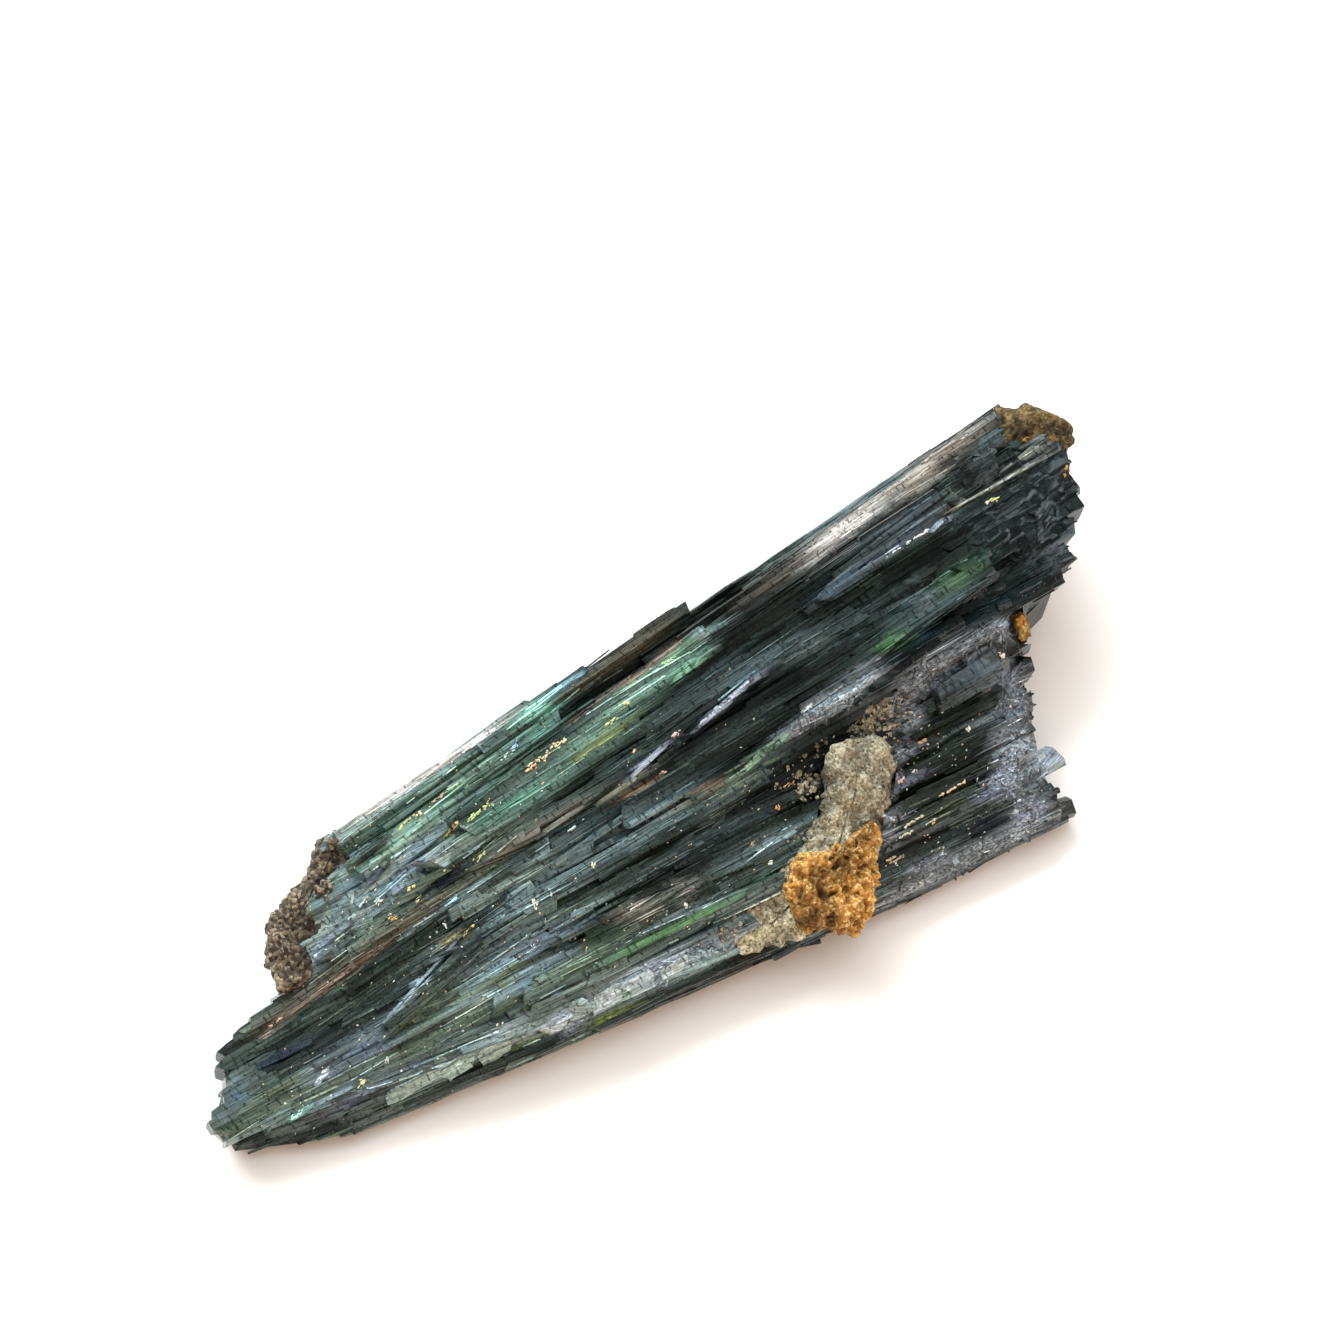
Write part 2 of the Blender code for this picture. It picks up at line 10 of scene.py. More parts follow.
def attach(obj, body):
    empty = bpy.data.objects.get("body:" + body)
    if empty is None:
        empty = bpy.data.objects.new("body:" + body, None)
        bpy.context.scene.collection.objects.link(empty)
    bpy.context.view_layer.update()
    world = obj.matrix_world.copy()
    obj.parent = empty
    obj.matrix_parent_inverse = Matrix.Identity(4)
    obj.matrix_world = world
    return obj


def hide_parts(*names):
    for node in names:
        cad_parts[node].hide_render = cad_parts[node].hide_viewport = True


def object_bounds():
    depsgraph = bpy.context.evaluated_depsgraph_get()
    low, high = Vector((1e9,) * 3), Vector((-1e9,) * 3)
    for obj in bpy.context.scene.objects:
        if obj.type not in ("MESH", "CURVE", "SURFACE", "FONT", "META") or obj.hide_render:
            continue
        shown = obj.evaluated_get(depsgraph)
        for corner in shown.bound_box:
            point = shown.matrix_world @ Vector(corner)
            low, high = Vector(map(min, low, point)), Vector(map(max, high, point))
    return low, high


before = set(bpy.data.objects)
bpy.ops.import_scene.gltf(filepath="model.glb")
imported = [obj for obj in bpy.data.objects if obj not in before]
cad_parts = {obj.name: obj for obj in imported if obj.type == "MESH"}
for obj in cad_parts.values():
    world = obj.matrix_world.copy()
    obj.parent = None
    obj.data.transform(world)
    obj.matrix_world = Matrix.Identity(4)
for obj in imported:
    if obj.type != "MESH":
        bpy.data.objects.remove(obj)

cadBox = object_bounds()
boxLow, boxHigh = (np.array(corner) for corner in cadBox)
mm = 0.001

# How the broad side of the shard lies. a runs along it, b across it, h out of it, all in mm. The layout is oblique:
# a point off the plane by h is moved by lean times h. All the crystals fan out from one far point, the apex.
face = {
    "strike": -9.5,
    "dip": 16.0,
    "origin": (-1.442, -1.17, 6.58),
    "lean": (-0.34, -0.42),
    "apex": (-101.7, -15.8),
    "fanRadius": 110.0,     # where the arc across the fan is measured
    "depthShare": 0.8,      # of the height, added to that arc
}

print("frame loaded")


# ---- places and directions


def faceAxesFrom(strike, dip):
    # rows are the unit vectors of a, b and h: Z turned by strike, then tipped by dip towards the front
    s, d = math.radians(strike), math.radians(dip)
    across = np.array([-math.sin(s), math.cos(s), 0.0])
    up = np.array([0.0, 0.0, 1.0])
    return np.array([
        [math.cos(s), math.sin(s), 0.0],
        math.cos(d) * across + math.sin(d) * up,
        -math.sin(d) * across + math.cos(d) * up,
    ])


faceAxes = faceAxesFrom(face["strike"], face["dip"])
sightLine = np.array([face["lean"][0], face["lean"][1], 1.0])
sightLine /= np.linalg.norm(sightLine)


def toWorld(points):
    # a, b, h in mm to the world in metres
    return (np.asarray(points) @ faceAxes + face["origin"]) * mm


def toFace(points):
    # the world in metres to a, b, h in mm
    return (np.asarray(points) / mm - face["origin"]) @ faceAxes.T


def layoutOf(points):
    # the oblique a and b of points given as a, b, h
    return points[:, 0] - face["lean"][0] * points[:, 2], points[:, 1] - face["lean"][1] * points[:, 2]


def growthAt(points):
    # unit vectors away from the apex, in the plane of the broad side
    a, b = layoutOf(points)
    away = np.stack([a - face["apex"][0], b - face["apex"][1], np.zeros_like(a)], axis=1)
    return away / np.linalg.norm(away, axis=1)[:, None]


def grainOf(points):
    # the grain of the crystals in mm: distance from the apex, and arc length across the fan plus a share of the height
    a, b = layoutOf(points)
    x, y = a - face["apex"][0], b - face["apex"][1]
    arc = np.arctan2(y, x) * face["fanRadius"] + face["depthShare"] * points[:, 2]
    return np.stack([np.hypot(x, y), arc], axis=1)


def unit(vectors):
    # each row divided by its own length
    return vectors / np.maximum(np.linalg.norm(vectors, axis=1), 1e-9)[:, None]


def flattened(vectors, normals):
    # what is left of each vector once its share along the normal is taken off, at unit length
    return unit(vectors - normals * np.sum(vectors * normals, axis=1)[:, None])


# ---- noise


def valueNoise(points, seed):
    # random values from -1 to 1 on a unit lattice, blended smoothly between the 8 corners of each cell
    table = np.random.default_rng(seed).uniform(-1, 1, (32, 32, 32))
    cell = np.floor(points).astype(int)
    part = points - cell
    part = part * part * (3 - 2 * part)
    total = np.zeros(len(points))
    for corner in np.ndindex(2, 2, 2):
        weight = np.prod(np.where(corner, part, 1 - part), axis=1)
        x, y, z = ((cell + corner) % 32).T
        total += weight * table[x, y, z]
    return total


def cellNoise(points, seed):
    # distance to the nearest of the points strewn one to a cell, 0 at a point and about 1 far from all
    table = np.random.default_rng(seed).uniform(0, 1, (24, 24, 24, 3))
    cell = np.floor(points).astype(int)
    best = np.full(len(points), 9.0)
    for step in np.ndindex(3, 3, 3):
        near = cell + np.array(step) - 1
        x, y, z = (near % 24).T
        best = np.minimum(best, np.linalg.norm(near + table[x, y, z] - points, axis=1))
    return best


# ---- colours


def linear(hexColour):
    # sRGB hex to linear red, green and blue
    value = np.array([int(hexColour[i:i + 2], 16) for i in (1, 3, 5)]) / 255
    return np.where(value <= 0.04045, value / 12.92, ((value + 0.055) / 1.055) ** 2.4)


# What is seen of the crystals' colour, region by region: mostly their own colour, and in some rows painted reflections
# and highlights as well. Each row: a and b of the middle, half length, half width, slope in degrees, colour, how
# strong, and how crushed to powder it is from 0 to 1.
zones = (
    # upper crystals, narrow half
    (-10.0, 6.0, 4.2, 1.0, 14, "#4f735f", 0.6, 0.0),
    (-13.5, 4.3, 2.7, 0.50, 16, "#87b1a1", 0.9, 0.0),
    (-15.5, 4.05, 1.3, 0.13, 18, "#131d19", 0.95, 0.0),
    (-13.2, 5.6, 3.0, 0.45, 15, "#5e7e73", 0.7, 0.0),
    (-9.5, 7.25, 5.2, 0.20, 14, "#c7c4be", 0.9, 0.0),
    (-13.0, 6.6, 2.6, 0.16, 16, "#847a70", 0.8, 0.0),
    (-4.3, 8.25, 1.3, 0.55, 15, "#77b29e", 0.9, 0.0),
    (-2.2, 8.85, 0.9, 0.30, 10, "#77a1b2", 0.9, 0.1),
    (-4.9, 6.9, 1.5, 0.45, 14, "#57877a", 0.8, 0.0),
    (-7.5, 3.9, 3.6, 0.55, 13, "#4f8475", 0.75, 0.0),
    (-3.8, 4.9, 3.2, 0.65, 13, "#58776a", 0.85, 0.1),
    (-0.4, 6.5, 4.0, 0.75, 16, "#688a7c", 0.85, 0.1),
    (-2.0, 5.5, 1.6, 0.30, 14, "#839a62", 0.4, 0.0),
    (1.5, 7.35, 2.4, 0.60, 16, "#7a9f93", 0.85, 0.1),
    (3.6, 8.3, 1.6, 0.42, 18, "#80ab98", 0.95, 0.0),
    (3.4, 7.4, 1.5, 0.30, 15, "#74a890", 0.8, 0.0),
    (4.9, 8.8, 0.6, 0.40, 25, "#a5c6c8", 0.95, 0.2),
    (0.6, 7.95, 3.2, 0.12, 17, "#a5917c", 0.8, 0.0),
    (1.0, 9.4, 4.0, 0.55, 16, "#4a4739", 0.8, 0.0),
    (-8.5, 5.0, 3.0, 0.35, 14, "#395347", 0.6, 0.0),
    # upper crystals, wide half
    # the first three rows: the pale top edge of the wide half, partly a thin translucent edge and partly painted
    # reflection of the bright room behind it
    (20.3, 12.75, 4.4, 0.38, 20, "#8f887d", 0.95, 0.0),
    (14.0, 11.4, 3.6, 0.42, 17, "#e8e6e2", 0.95, 0.0),
    (19.8, 13.3, 3.8, 0.34, 17, "#b3aea5", 0.95, 0.0),
    (9.8, 10.3, 2.8, 0.35, 14, "#4c4840", 0.8, 0.0),
    (10.2, 11.1, 1.4, 0.25, 8, "#34403c", 0.7, 0.0),
    (15.6, 11.0, 7.4, 0.50, 14, "#080c08", 0.95, 0.0),
    (21.6, 12.5, 1.2, 0.95, 14, "#070a09", 0.95, 0.0),
    (17.4, 10.85, 3.0, 0.38, 13, "#404a50", 0.9, 0.1),
    (20.2, 11.4, 0.6, 0.40, 15, "#42504a", 0.9, 0.0),
    (15.8, 9.65, 3.6, 0.28, 14, "#6b767f", 0.9, 0.1),
    (19.0, 10.05, 0.5, 0.14, 12, "#9fb0be", 0.9, 0.1),
    (12.6, 8.75, 1.7, 0.28, 16, "#4b5f6c", 0.9, 0.1),
    (9.5, 8.6, 2.6, 0.5, 13, "#1c201b", 0.7, 0.0),
    (10.4, 6.8, 3.2, 1.0, 10, "#1d2625", 0.85, 0.0),
    (9.3, 6.2, 1.6, 0.5, 10, "#404c4a", 0.6, 0.0),
    (18.4, 8.5, 3.7, 0.5, 12, "#0b140f", 0.95, 0.0),
    (18.5, 6.95, 2.0, 0.65, 15, "#3a5542", 0.95, 0.0),
    (18.3, 6.75, 1.1, 0.35, 15, "#517158", 0.9, 0.0),
    (20.4, 7.5, 0.8, 0.35, 16, "#34534c", 0.85, 0.0),
    (13.8, 4.85, 0.75, 0.60, 20, "#315237", 0.95, 0.0),
    (13.9, 4.8, 0.35, 0.35, 20, "#59865d", 0.9, 0.0),
    (14.8, 4.8, 0.35, 0.7, 0, "#253d4c", 0.85, 0.0),
    (16.2, 6.4, 0.7, 0.9, 0, "#5a6768", 0.45, 0.3),
    (12.0, 3.7, 0.9, 0.6, 0, "#8d959c", 0.75, 0.6),
    (20.5, 4.85, 2.8, 0.42, 12, "#1d2c2f", 0.9, 0.0),
    (16.6, 4.4, 2.4, 0.35, 12, "#090e0f", 0.95, 0.0),
    (12.0, 3.0, 4.4, 0.22, 15, "#050808", 0.95, 0.0),
    (24.0, 9.2, 3.4, 2.9, 12, "#0d1317", 0.85, 0.0),
    (26.3, 11.3, 1.3, 0.55, 10, "#152328", 0.9, 0.0),
    (22.5, 9.4, 0.8, 0.5, 0, "#110d18", 0.9, 0.0),
    (23.9, 5.8, 1.1, 0.9, 0, "#373d41", 0.7, 0.3),
    (24.3, 6.7, 1.6, 0.18, 14, "#5b6267", 0.7, 0.3),
    (23.2, 11.0, 3.6, 0.07, 9, "#a5aea6", 0.9, 0.3),
    (24.9, 12.0, 1.9, 0.07, 18, "#8e958c", 0.9, 0.3),
    (25.6, 13.4, 2.0, 0.09, 16, "#8a8474", 0.9, 0.3),
    (22.8, 12.4, 0.09, 1.3, 0, "#7d8378", 0.8, 0.3),
    (26.7, 12.3, 0.5, 0.5, 0, "#868b8b", 0.7, 0.5),
    # middle
    (-17.0, -0.4, 7.6, 0.50, 16, "#514f43", 0.85, 0.0),
    (-7.0, 2.2, 3.6, 0.35, 13, "#767269", 0.8, 0.0),
    # the next two rows: brown streaks, painted reflection of the warm room
    (-19.8, -1.5, 3.6, 0.10, 16, "#8d7b6c", 0.8, 0.0),
    (-24.3, -3.0, 1.6, 0.10, 14, "#7d7064", 0.8, 0.0),
    (-22.5, -1.9, 2.2, 0.3, 16, "#57564d", 0.6, 0.0),
    (-20.0, -2.7, 3.0, 0.6, 14, "#21271e", 0.8, 0.0),
    (-24.0, -4.1, 1.9, 0.22, 6, "#1f2b3d", 0.8, 0.0),
    (-26.6, -5.0, 0.6, 0.4, 10, "#506d83", 0.8, 0.1),
    (-27.0, -6.3, 1.6, 0.5, 14, "#36423d", 0.7, 0.0),
    (-27.5, -5.6, 0.7, 0.13, 10, "#8693ac", 0.9, 0.2),
    (-24.8, -5.6, 2.0, 0.35, 12, "#455244", 0.6, 0.0),
    (-23.9, -7.15, 0.9, 0.12, 14, "#78a6a9", 0.95, 0.0),
    (-22.3, -5.8, 0.7, 0.16, 30, "#a5bcc8", 0.95, 0.0),
    (-21.5, -5.4, 1.8, 0.8, 14, "#546578", 0.55, 0.4),
    (-19.5, -5.3, 1.3, 0.6, 10, "#54677b", 0.75, 0.4),
    (-21.5, -7.5, 2.8, 0.30, 8, "#636f80", 0.8, 0.6),
    (-18.0, -6.9, 2.4, 0.4, 8, "#384852", 0.7, 0.0),
    (-16.2, -3.2, 3.6, 0.11, 27, "#97aab1", 0.95, 0.0),
    (-13.0, -1.6, 0.8, 0.10, 27, "#a69751", 0.9, 0.0),
    (-17.0, -2.1, 3.4, 0.6, 16, "#202820", 0.8, 0.0),
    (-13.0, -0.6, 3.0, 0.6, 16, "#252c23", 0.7, 0.0),
    (-15.8, -5.5, 0.5, 0.4, 0, "#141a2c", 0.9, 0.0),
    (-13.9, -5.9, 0.4, 0.5, 0, "#141a2c", 0.9, 0.0),
    (-11.9, -2.4, 0.2, 0.6, 0, "#1e2536", 0.9, 0.0),
    (-12.2, -2.9, 3.2, 0.5, 14, "#566669", 0.65, 0.3),
    (-9.4, -1.25, 1.8, 0.45, 14, "#718d8f", 0.85, 0.5),
    (-3.5, 0.4, 4.6, 0.9, 13, "#576b6e", 0.85, 0.0),
    (-9.0, 0.9, 1.8, 0.6, 14, "#1a1d1a", 0.85, 0.0),
    (-13.4, 2.65, 1.5, 0.30, 6, "#72808f", 0.75, 0.6),
    (-16.5, 1.3, 1.6, 0.5, 14, "#586a75", 0.55, 0.2),
    (-14.8, 1.9, 0.5, 0.22, 20, "#8ba6b9", 0.95, 0.2),
    (-19.5, 0.55, 1.8, 0.22, 17, "#738794", 0.85, 0.1),
    (-20.5, -0.2, 1.4, 0.15, 14, "#66747f", 0.8, 0.1),
    (-18.0, 3.2, 2.5, 0.5, 12, "#3d584e", 0.65, 0.0),
    (-12.8, 1.3, 1.5, 0.32, 12, "#141c24", 0.95, 0.0),
    # the next two rows: blue-white lens-shaped streaks, painted reflections of the pale sky
    (4.4, 4.95, 2.4, 0.15, 21, "#a1b0c2", 0.95, 0.0),
    (-0.6, 3.45, 1.6, 0.15, 22, "#9ca9bb", 0.95, 0.0),
    (-2.2, 2.7, 1.7, 0.13, 14, "#90917f", 0.8, 0.0),
    (-1.6, 2.35, 1.5, 0.25, 8, "#7b6b55", 0.8, 0.0),
    (4.0, 3.2, 3.5, 0.6, 13, "#313b37", 0.8, 0.0),
    (3.0, 5.9, 3.5, 0.5, 14, "#2d3735", 0.8, 0.0),
    (3.8, 1.3, 1.9, 0.20, 21, "#7b9c88", 0.95, 0.0),
    (6.6, 2.3, 1.2, 0.12, 27, "#83a096", 0.95, 0.0),
    (8.1, 3.15, 0.5, 0.13, 20, "#c6d0ce", 0.95, 0.3),
    (1.6, 0.95, 0.8, 0.35, 0, "#857c6d", 0.7, 0.2),
    (10.0, 3.0, 2.1, 0.7, 14, "#96a3ab", 1.0, 1.0),
    (7.2, 2.3, 0.8, 0.35, 30, "#838a94", 0.85, 0.8),
    (8.8, 1.65, 3.4, 0.22, 13, "#0c1016", 0.95, 0.0),
    # the near-black band along the parting between upper and lower crystals: painted shade in the gap
    (4.3, -0.2, 4.2, 0.60, 6, "#0e1313", 0.95, 0.0),
    (0.0, -1.7, 5.0, 0.5, 6, "#364243", 0.8, 0.0),
    (3.3, -2.8, 3.6, 0.5, 4, "#657b7e", 0.7, 0.2),
    (-4.6, -3.7, 1.1, 0.65, 5, "#696b63", 0.85, 0.5),
    (-1.9, -3.6, 0.5, 0.65, 5, "#767673", 0.85, 0.5),
    (-7.0, -4.1, 1.2, 0.45, 8, "#1c2d1e", 0.95, 0.0),
    (-9.0, -3.2, 2.0, 0.6, 10, "#434d60", 0.6, 0.2),
    (-3.5, -5.15, 4.5, 0.22, 5, "#4c704c", 0.85, 0.0),
    (2.0, -4.3, 2.2, 0.35, 5, "#455e53", 0.7, 0.0),
    (9.3, -3.2, 2.5, 0.4, 62, "#969ea6", 0.9, 0.9),
    (3.1, -8.9, 1.9, 0.35, -4, "#1f283a", 0.95, 0.0),
    (2.2, -9.0, 1.0, 0.15, -8, "#868d99", 0.9, 0.3),
    # front band and what is under it: its pale faces partly powder, partly painted reflection of the pale floor
    (-5.0, -7.2, 5.6, 0.75, 3, "#9cb2bd", 0.95, 0.6),
    (-5.2, -6.8, 0.9, 0.5, -10, "#a3b3c6", 0.9, 0.8),
    (-10.6, -7.7, 0.8, 0.7, 0, "#aabbcd", 0.95, 0.7),
    (-7.8, -7.6, 1.2, 0.40, 6, "#80a18c", 0.85, 0.2),
    (-8.5, -8.3, 0.7, 0.18, 5, "#93a85c", 0.9, 0.1),
    (-2.6, -7.6, 1.2, 0.40, 5, "#89a6a4", 0.85, 0.3),
    (0.0, -7.0, 1.0, 0.5, 5, "#909d9e", 0.8, 0.5),
    (-13.2, -7.1, 1.5, 0.50, 8, "#a2bdc2", 0.95, 0.2),
    (-17.6, -7.8, 1.9, 0.32, 5, "#9ebac0", 0.95, 0.2),
    (-12.2, -7.9, 0.8, 0.12, 5, "#8ba14e", 0.9, 0.0),
    (-14.6, -7.5, 0.7, 0.4, 0, "#6d8885", 0.8, 0.2),
    (-16.0, -8.6, 3.6, 0.22, 3, "#242d25", 0.85, 0.0),
    (-15.0, -9.2, 3.0, 0.30, 2, "#50595a", 0.85, 0.5),
    (-20.0, -8.3, 2.0, 0.35, 5, "#34433a", 0.85, 0.0),
    # lower crystals, wide half
    (15.0, 2.5, 3.2, 0.95, 14, "#808a93", 1.0, 1.0),
    (18.9, 3.2, 1.5, 0.7, 8, "#8b959d", 1.0, 1.0),
    (12.7, 0.9, 0.9, 0.9, 0, "#848d95", 0.95, 1.0),
    (11.5, -0.8, 0.9, 0.6, 0, "#808890", 0.95, 0.9),
    (16.9, 1.8, 1.6, 0.8, 12, "#3a4249", 0.9, 0.3),
    (19.1, 2.2, 1.0, 0.70, 10, "#221d1c", 0.95, 0.0),
    (18.4, 0.8, 1.5, 0.30, 10, "#6b717c", 0.85, 0.7),
    (18.0, -0.7, 0.8, 1.4, -35, "#87919a", 0.95, 1.0),
    (14.5, -0.3, 2.6, 0.33, 5, "#1a1f17", 0.95, 0.0),
    (16.3, -0.9, 1.2, 0.28, 2, "#565c62", 0.85, 0.3),
    (14.0, -2.3, 3.0, 0.65, 6, "#181c15", 0.95, 0.0),
    (10.9, -2.4, 1.2, 0.28, 8, "#565b68", 0.9, 0.2),
    (12.5, -3.2, 3.0, 0.35, 5, "#0f120f", 0.95, 0.0),
    (12.5, -4.5, 2.6, 0.45, 5, "#242a1d", 0.95, 0.0),
    (16.6, -3.1, 0.9, 1.8, -25, "#8f99a1", 1.0, 1.0),
    (15.6, -3.9, 1.2, 0.6, 30, "#8e95a2", 0.95, 1.0),
    (14.8, -4.7, 1.0, 0.4, -10, "#79839a", 0.9, 0.8),
    (15.8, -5.9, 0.9, 1.2, -20, "#848e96", 0.95, 1.0),
    (17.9, -4.0, 0.9, 0.9, 0, "#a8b8c6", 1.0, 0.1),
    (17.7, -6.5, 0.6, 0.9, 0, "#1f1c18", 0.95, 0.1),
    (9.6, -5.7, 2.4, 0.5, 6, "#14130f", 0.95, 0.0),
    (13.2, -6.1, 1.4, 0.32, 2, "#1c1d26", 0.95, 0.0),
    (12.6, -7.4, 4.7, 0.6, 5, "#848e95", 1.0, 1.0),
    (15.9, -6.5, 1.2, 0.5, 15, "#8d93a2", 0.95, 1.0),
    (9.8, -6.9, 1.3, 0.28, 5, "#858b98", 0.9, 1.0),
    (8.0, -8.0, 2.0, 0.28, 6, "#8f979c", 0.9, 0.8),
)

# What shows where no zone does, from dark to light: the narrow half is slate-green and olive, the wide half
# black-green, and darkest above the parting
groundColours = {
    "narrow": ("#182120", "#37443f", "#4f5f5a", "#586a56", "#68808a", "#8a9d96"),
    "upper": ("#040705", "#090f0c", "#101814", "#1b2622", "#293837", "#425558"),
    "lower": ("#090d09", "#131913", "#212820", "#2e3937", "#465456", "#65736f"),
}


def scrambled(values):
    # the fraction of a large multiple of the sine: from 0 to 1, as if at random, but the same for the same value
    large = np.sin(values) * 43758.5453
    return large - np.floor(large)


def hashed(*keys):
    # the same for up to three whole numbers, each with a factor of its own
    return scrambled(sum(key * factor for key, factor in zip(keys, (12.9898, 78.233, 37.719))))


groundStrips = {
    "layers": ((0.55, 1.4, 8.0, 1), (0.45, 0.4, 5.0, 2)),   # share, width and length of a shade in mm, key
    "slip": 9.7,                    # most that a strip is pushed along, in lengths
    "contrast": 1.8,
    "wideFrom": -7.0,               # a where the wide half begins, staggered by strip, and the length of the change
    "wideStagger": 5.0,
    "wideBlend": 6.0,
    "partingSlope": 0.195,          # the parting between upper and lower crystals: its line and its width
    "partingHeight": -0.2,
    "partingBlend": 0.8,
}


def groundAt(a, b, across):
    # Strips of two widths run along the grain. Each changes its shade smoothly every few mm, and the two added up
    # pick a place on the region's row of colours. across is the grain's second coordinate.
    p = groundStrips
    far = np.hypot(a - face["apex"][0], b - face["apex"][1])
    pick = np.zeros(len(a))
    for share, width, length, key in p["layers"]:
        strip = np.floor(across / width)
        run = far / length + p["slip"] * hashed(strip, 0, key)
        step = np.floor(run)
        blend = (run - step) ** 2 * (3 - 2 * (run - step))
        pick += share * (hashed(strip, step, key) * (1 - blend) + hashed(strip, step + 1, key) * blend)
    place = np.clip((pick - 0.5) * p["contrast"] + 0.5, 0, 1)
    picked = {}
    for name, colours in groundColours.items():
        shades = np.array([linear(colour) for colour in colours])
        stops = np.linspace(0, 1, len(shades))
        picked[name] = np.stack([np.interp(place, stops, shade) for shade in shades.T], axis=1)
    wide = np.clip((a - p["wideFrom"] + p["wideStagger"] * pick) / p["wideBlend"], 0, 1)[:, None]
    above = b - p["partingSlope"] * a - p["partingHeight"]
    upper = np.clip(above / p["partingBlend"] + 0.5, 0, 1)[:, None]
    half = picked["upper"] * upper + picked["lower"] * (1 - upper)
    return picked["narrow"] * (1 - wide) + half * wide


# Where dark crystals are crossed by a net of pale cracks: a, b, half length, half width
crackedAreas = (
    (24.3, 9.0, 3.6, 3.6), (16.2, 6.9, 1.1, 0.9), (12.0, 3.7, 1.2, 0.8), (9.2, 6.4, 1.4, 0.7), (17.5, 2.5, 3.2, 1.2),
    (16.8, -3.0, 1.3, 2.8), (12.6, -7.4, 4.6, 0.7), (10.0, 3.0, 2.2, 0.7), (-12.0, -7.3, 8.0, 0.8),
    (-20.0, -6.5, 4.0, 0.8),
)


def areaShare(a, b, row, slope=0.0):
    # 1 inside an ellipse of the row's half length and half width turned by slope, falling steeply to 0 outside:
    # e to the power of minus the fourth power of the distance, counted in half lengths and half widths
    turn = math.radians(slope)
    x, y = a - row[0], b - row[1]
    along = x * math.cos(turn) + y * math.sin(turn)
    across = y * math.cos(turn) - x * math.sin(turn)
    return np.exp(-((along / row[2]) ** 2 + (across / row[3]) ** 2) ** 2)


zoneEnds = {"slope": 0.2, "stripWidth": 0.22, "wander": 0.3, "wanderLength": 2.3, "reach": 0.9}


def ragged(a, b):
    # the layout pushed to and fro along the grain by a random step for each strip of it, so that regions of colour
    # end in splinters as the crystals do
    p = zoneEnds
    strip = np.floor((b - p["slope"] * a) / p["stripWidth"] + p["wander"] * np.sin(a / p["wanderLength"]))
    return a + p["reach"] * (scrambled(strip * 78.233 + 3.1) - 0.5), b


def zoneTint(a, b, ground, jitter):
    # ground colours with each zone's colour laid over them in turn; jitter brightens or darkens it
    a, b = ragged(a, b)
    tint, powder = ground.copy(), np.zeros(len(a))
    for row in zones:
        weight = (areaShare(a, b, row, row[4]) * row[6])[:, None]
        tint = tint * (1 - weight) + weight * linear(row[5]) * jitter[:, None]
        powder = powder * (1 - weight[:, 0]) + weight[:, 0] * row[7]
    return tint, powder


def crackShare(a, b):
    # the strongest of the cracked areas at each point
    return np.max([areaShare(a, b, row) for row in crackedAreas], axis=0)


# ---- meshes


def readArray(items, field, width, kind):
    # one property of all of a mesh's items, a row of width numbers for each
    values = np.empty(len(items) * width, dtype=kind)
    items.foreach_get(field, values)
    return values.reshape(-1, width)


def makeMesh(name, points, faces, attributes, grain=None, smooth=False):
    # points in metres; attributes are per point, a float or a colour; grain is the UV map, per point
    mesh = bpy.data.meshes.new(name)
    mesh.from_pydata(np.clip(points, boxLow, boxHigh), [], faces)
    for key, values in attributes.items():
        kind, field = ("FLOAT", "value") if values.ndim == 1 else ("FLOAT_COLOR", "color")
        if values.ndim == 2:
            values = np.column_stack([values, np.ones(len(values))])
        layer = mesh.attributes.new(key, kind, "POINT")
        layer.data.foreach_set(field, values.astype(np.float32).ravel())
    if grain is not None:
        corner = readArray(mesh.loops, "vertex_index", 1, np.int32)[:, 0]
        mesh.uv_layers.new(name="grain").data.foreach_set("uv", grain[corner].astype(np.float32).ravel())
    mesh.polygons.foreach_set("use_smooth", np.full(len(mesh.polygons), smooth))
    mesh.update()
    return mesh


def addPiece(name, mesh, material, nodes):
    # a visible piece that rides on the root and takes the place of the named nodes of the CAD
    piece = bpy.data.objects.new(name, mesh)
    bpy.context.scene.collection.objects.link(piece)
    mesh.materials.clear()
    mesh.materials.append(material)
    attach(piece, "root")
    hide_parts(*nodes)
    print(name, len(mesh.polygons), "faces")


def tubeFaces(count, rings, sides):
    # quads between the rings of each of count tubes, and a cap at both ends
    start = np.arange(count)[:, None, None] * rings * sides
    ring = np.arange(rings - 1)[None, :, None] * sides
    side = np.arange(sides)[None, None, :]
    turn = (side + 1) % sides
    low, high = start + ring, start + ring + sides
    quads = np.stack([low + side, low + turn, high + turn, high + side], axis=-1).reshape(-1, 4)
    ends = start[:, 0] + np.arange(sides)[None, ::-1]
    caps = np.concatenate([ends, start[:, 0] + (rings - 1) * sides + np.arange(sides)[None, :]])
    return quads.tolist() + caps.tolist()


lathShape = {
    "bevel": (0.12, 0.3),       # of its width
    "waver": 0.09,              # of its width, at each ring
    "endWidth": (0.45, 1.0),    # of its width
    "lift": 0.02,               # mm up or down, at each ring
    "slant": 1.1,               # most that an end is cut aslant, mm along for each mm across
}


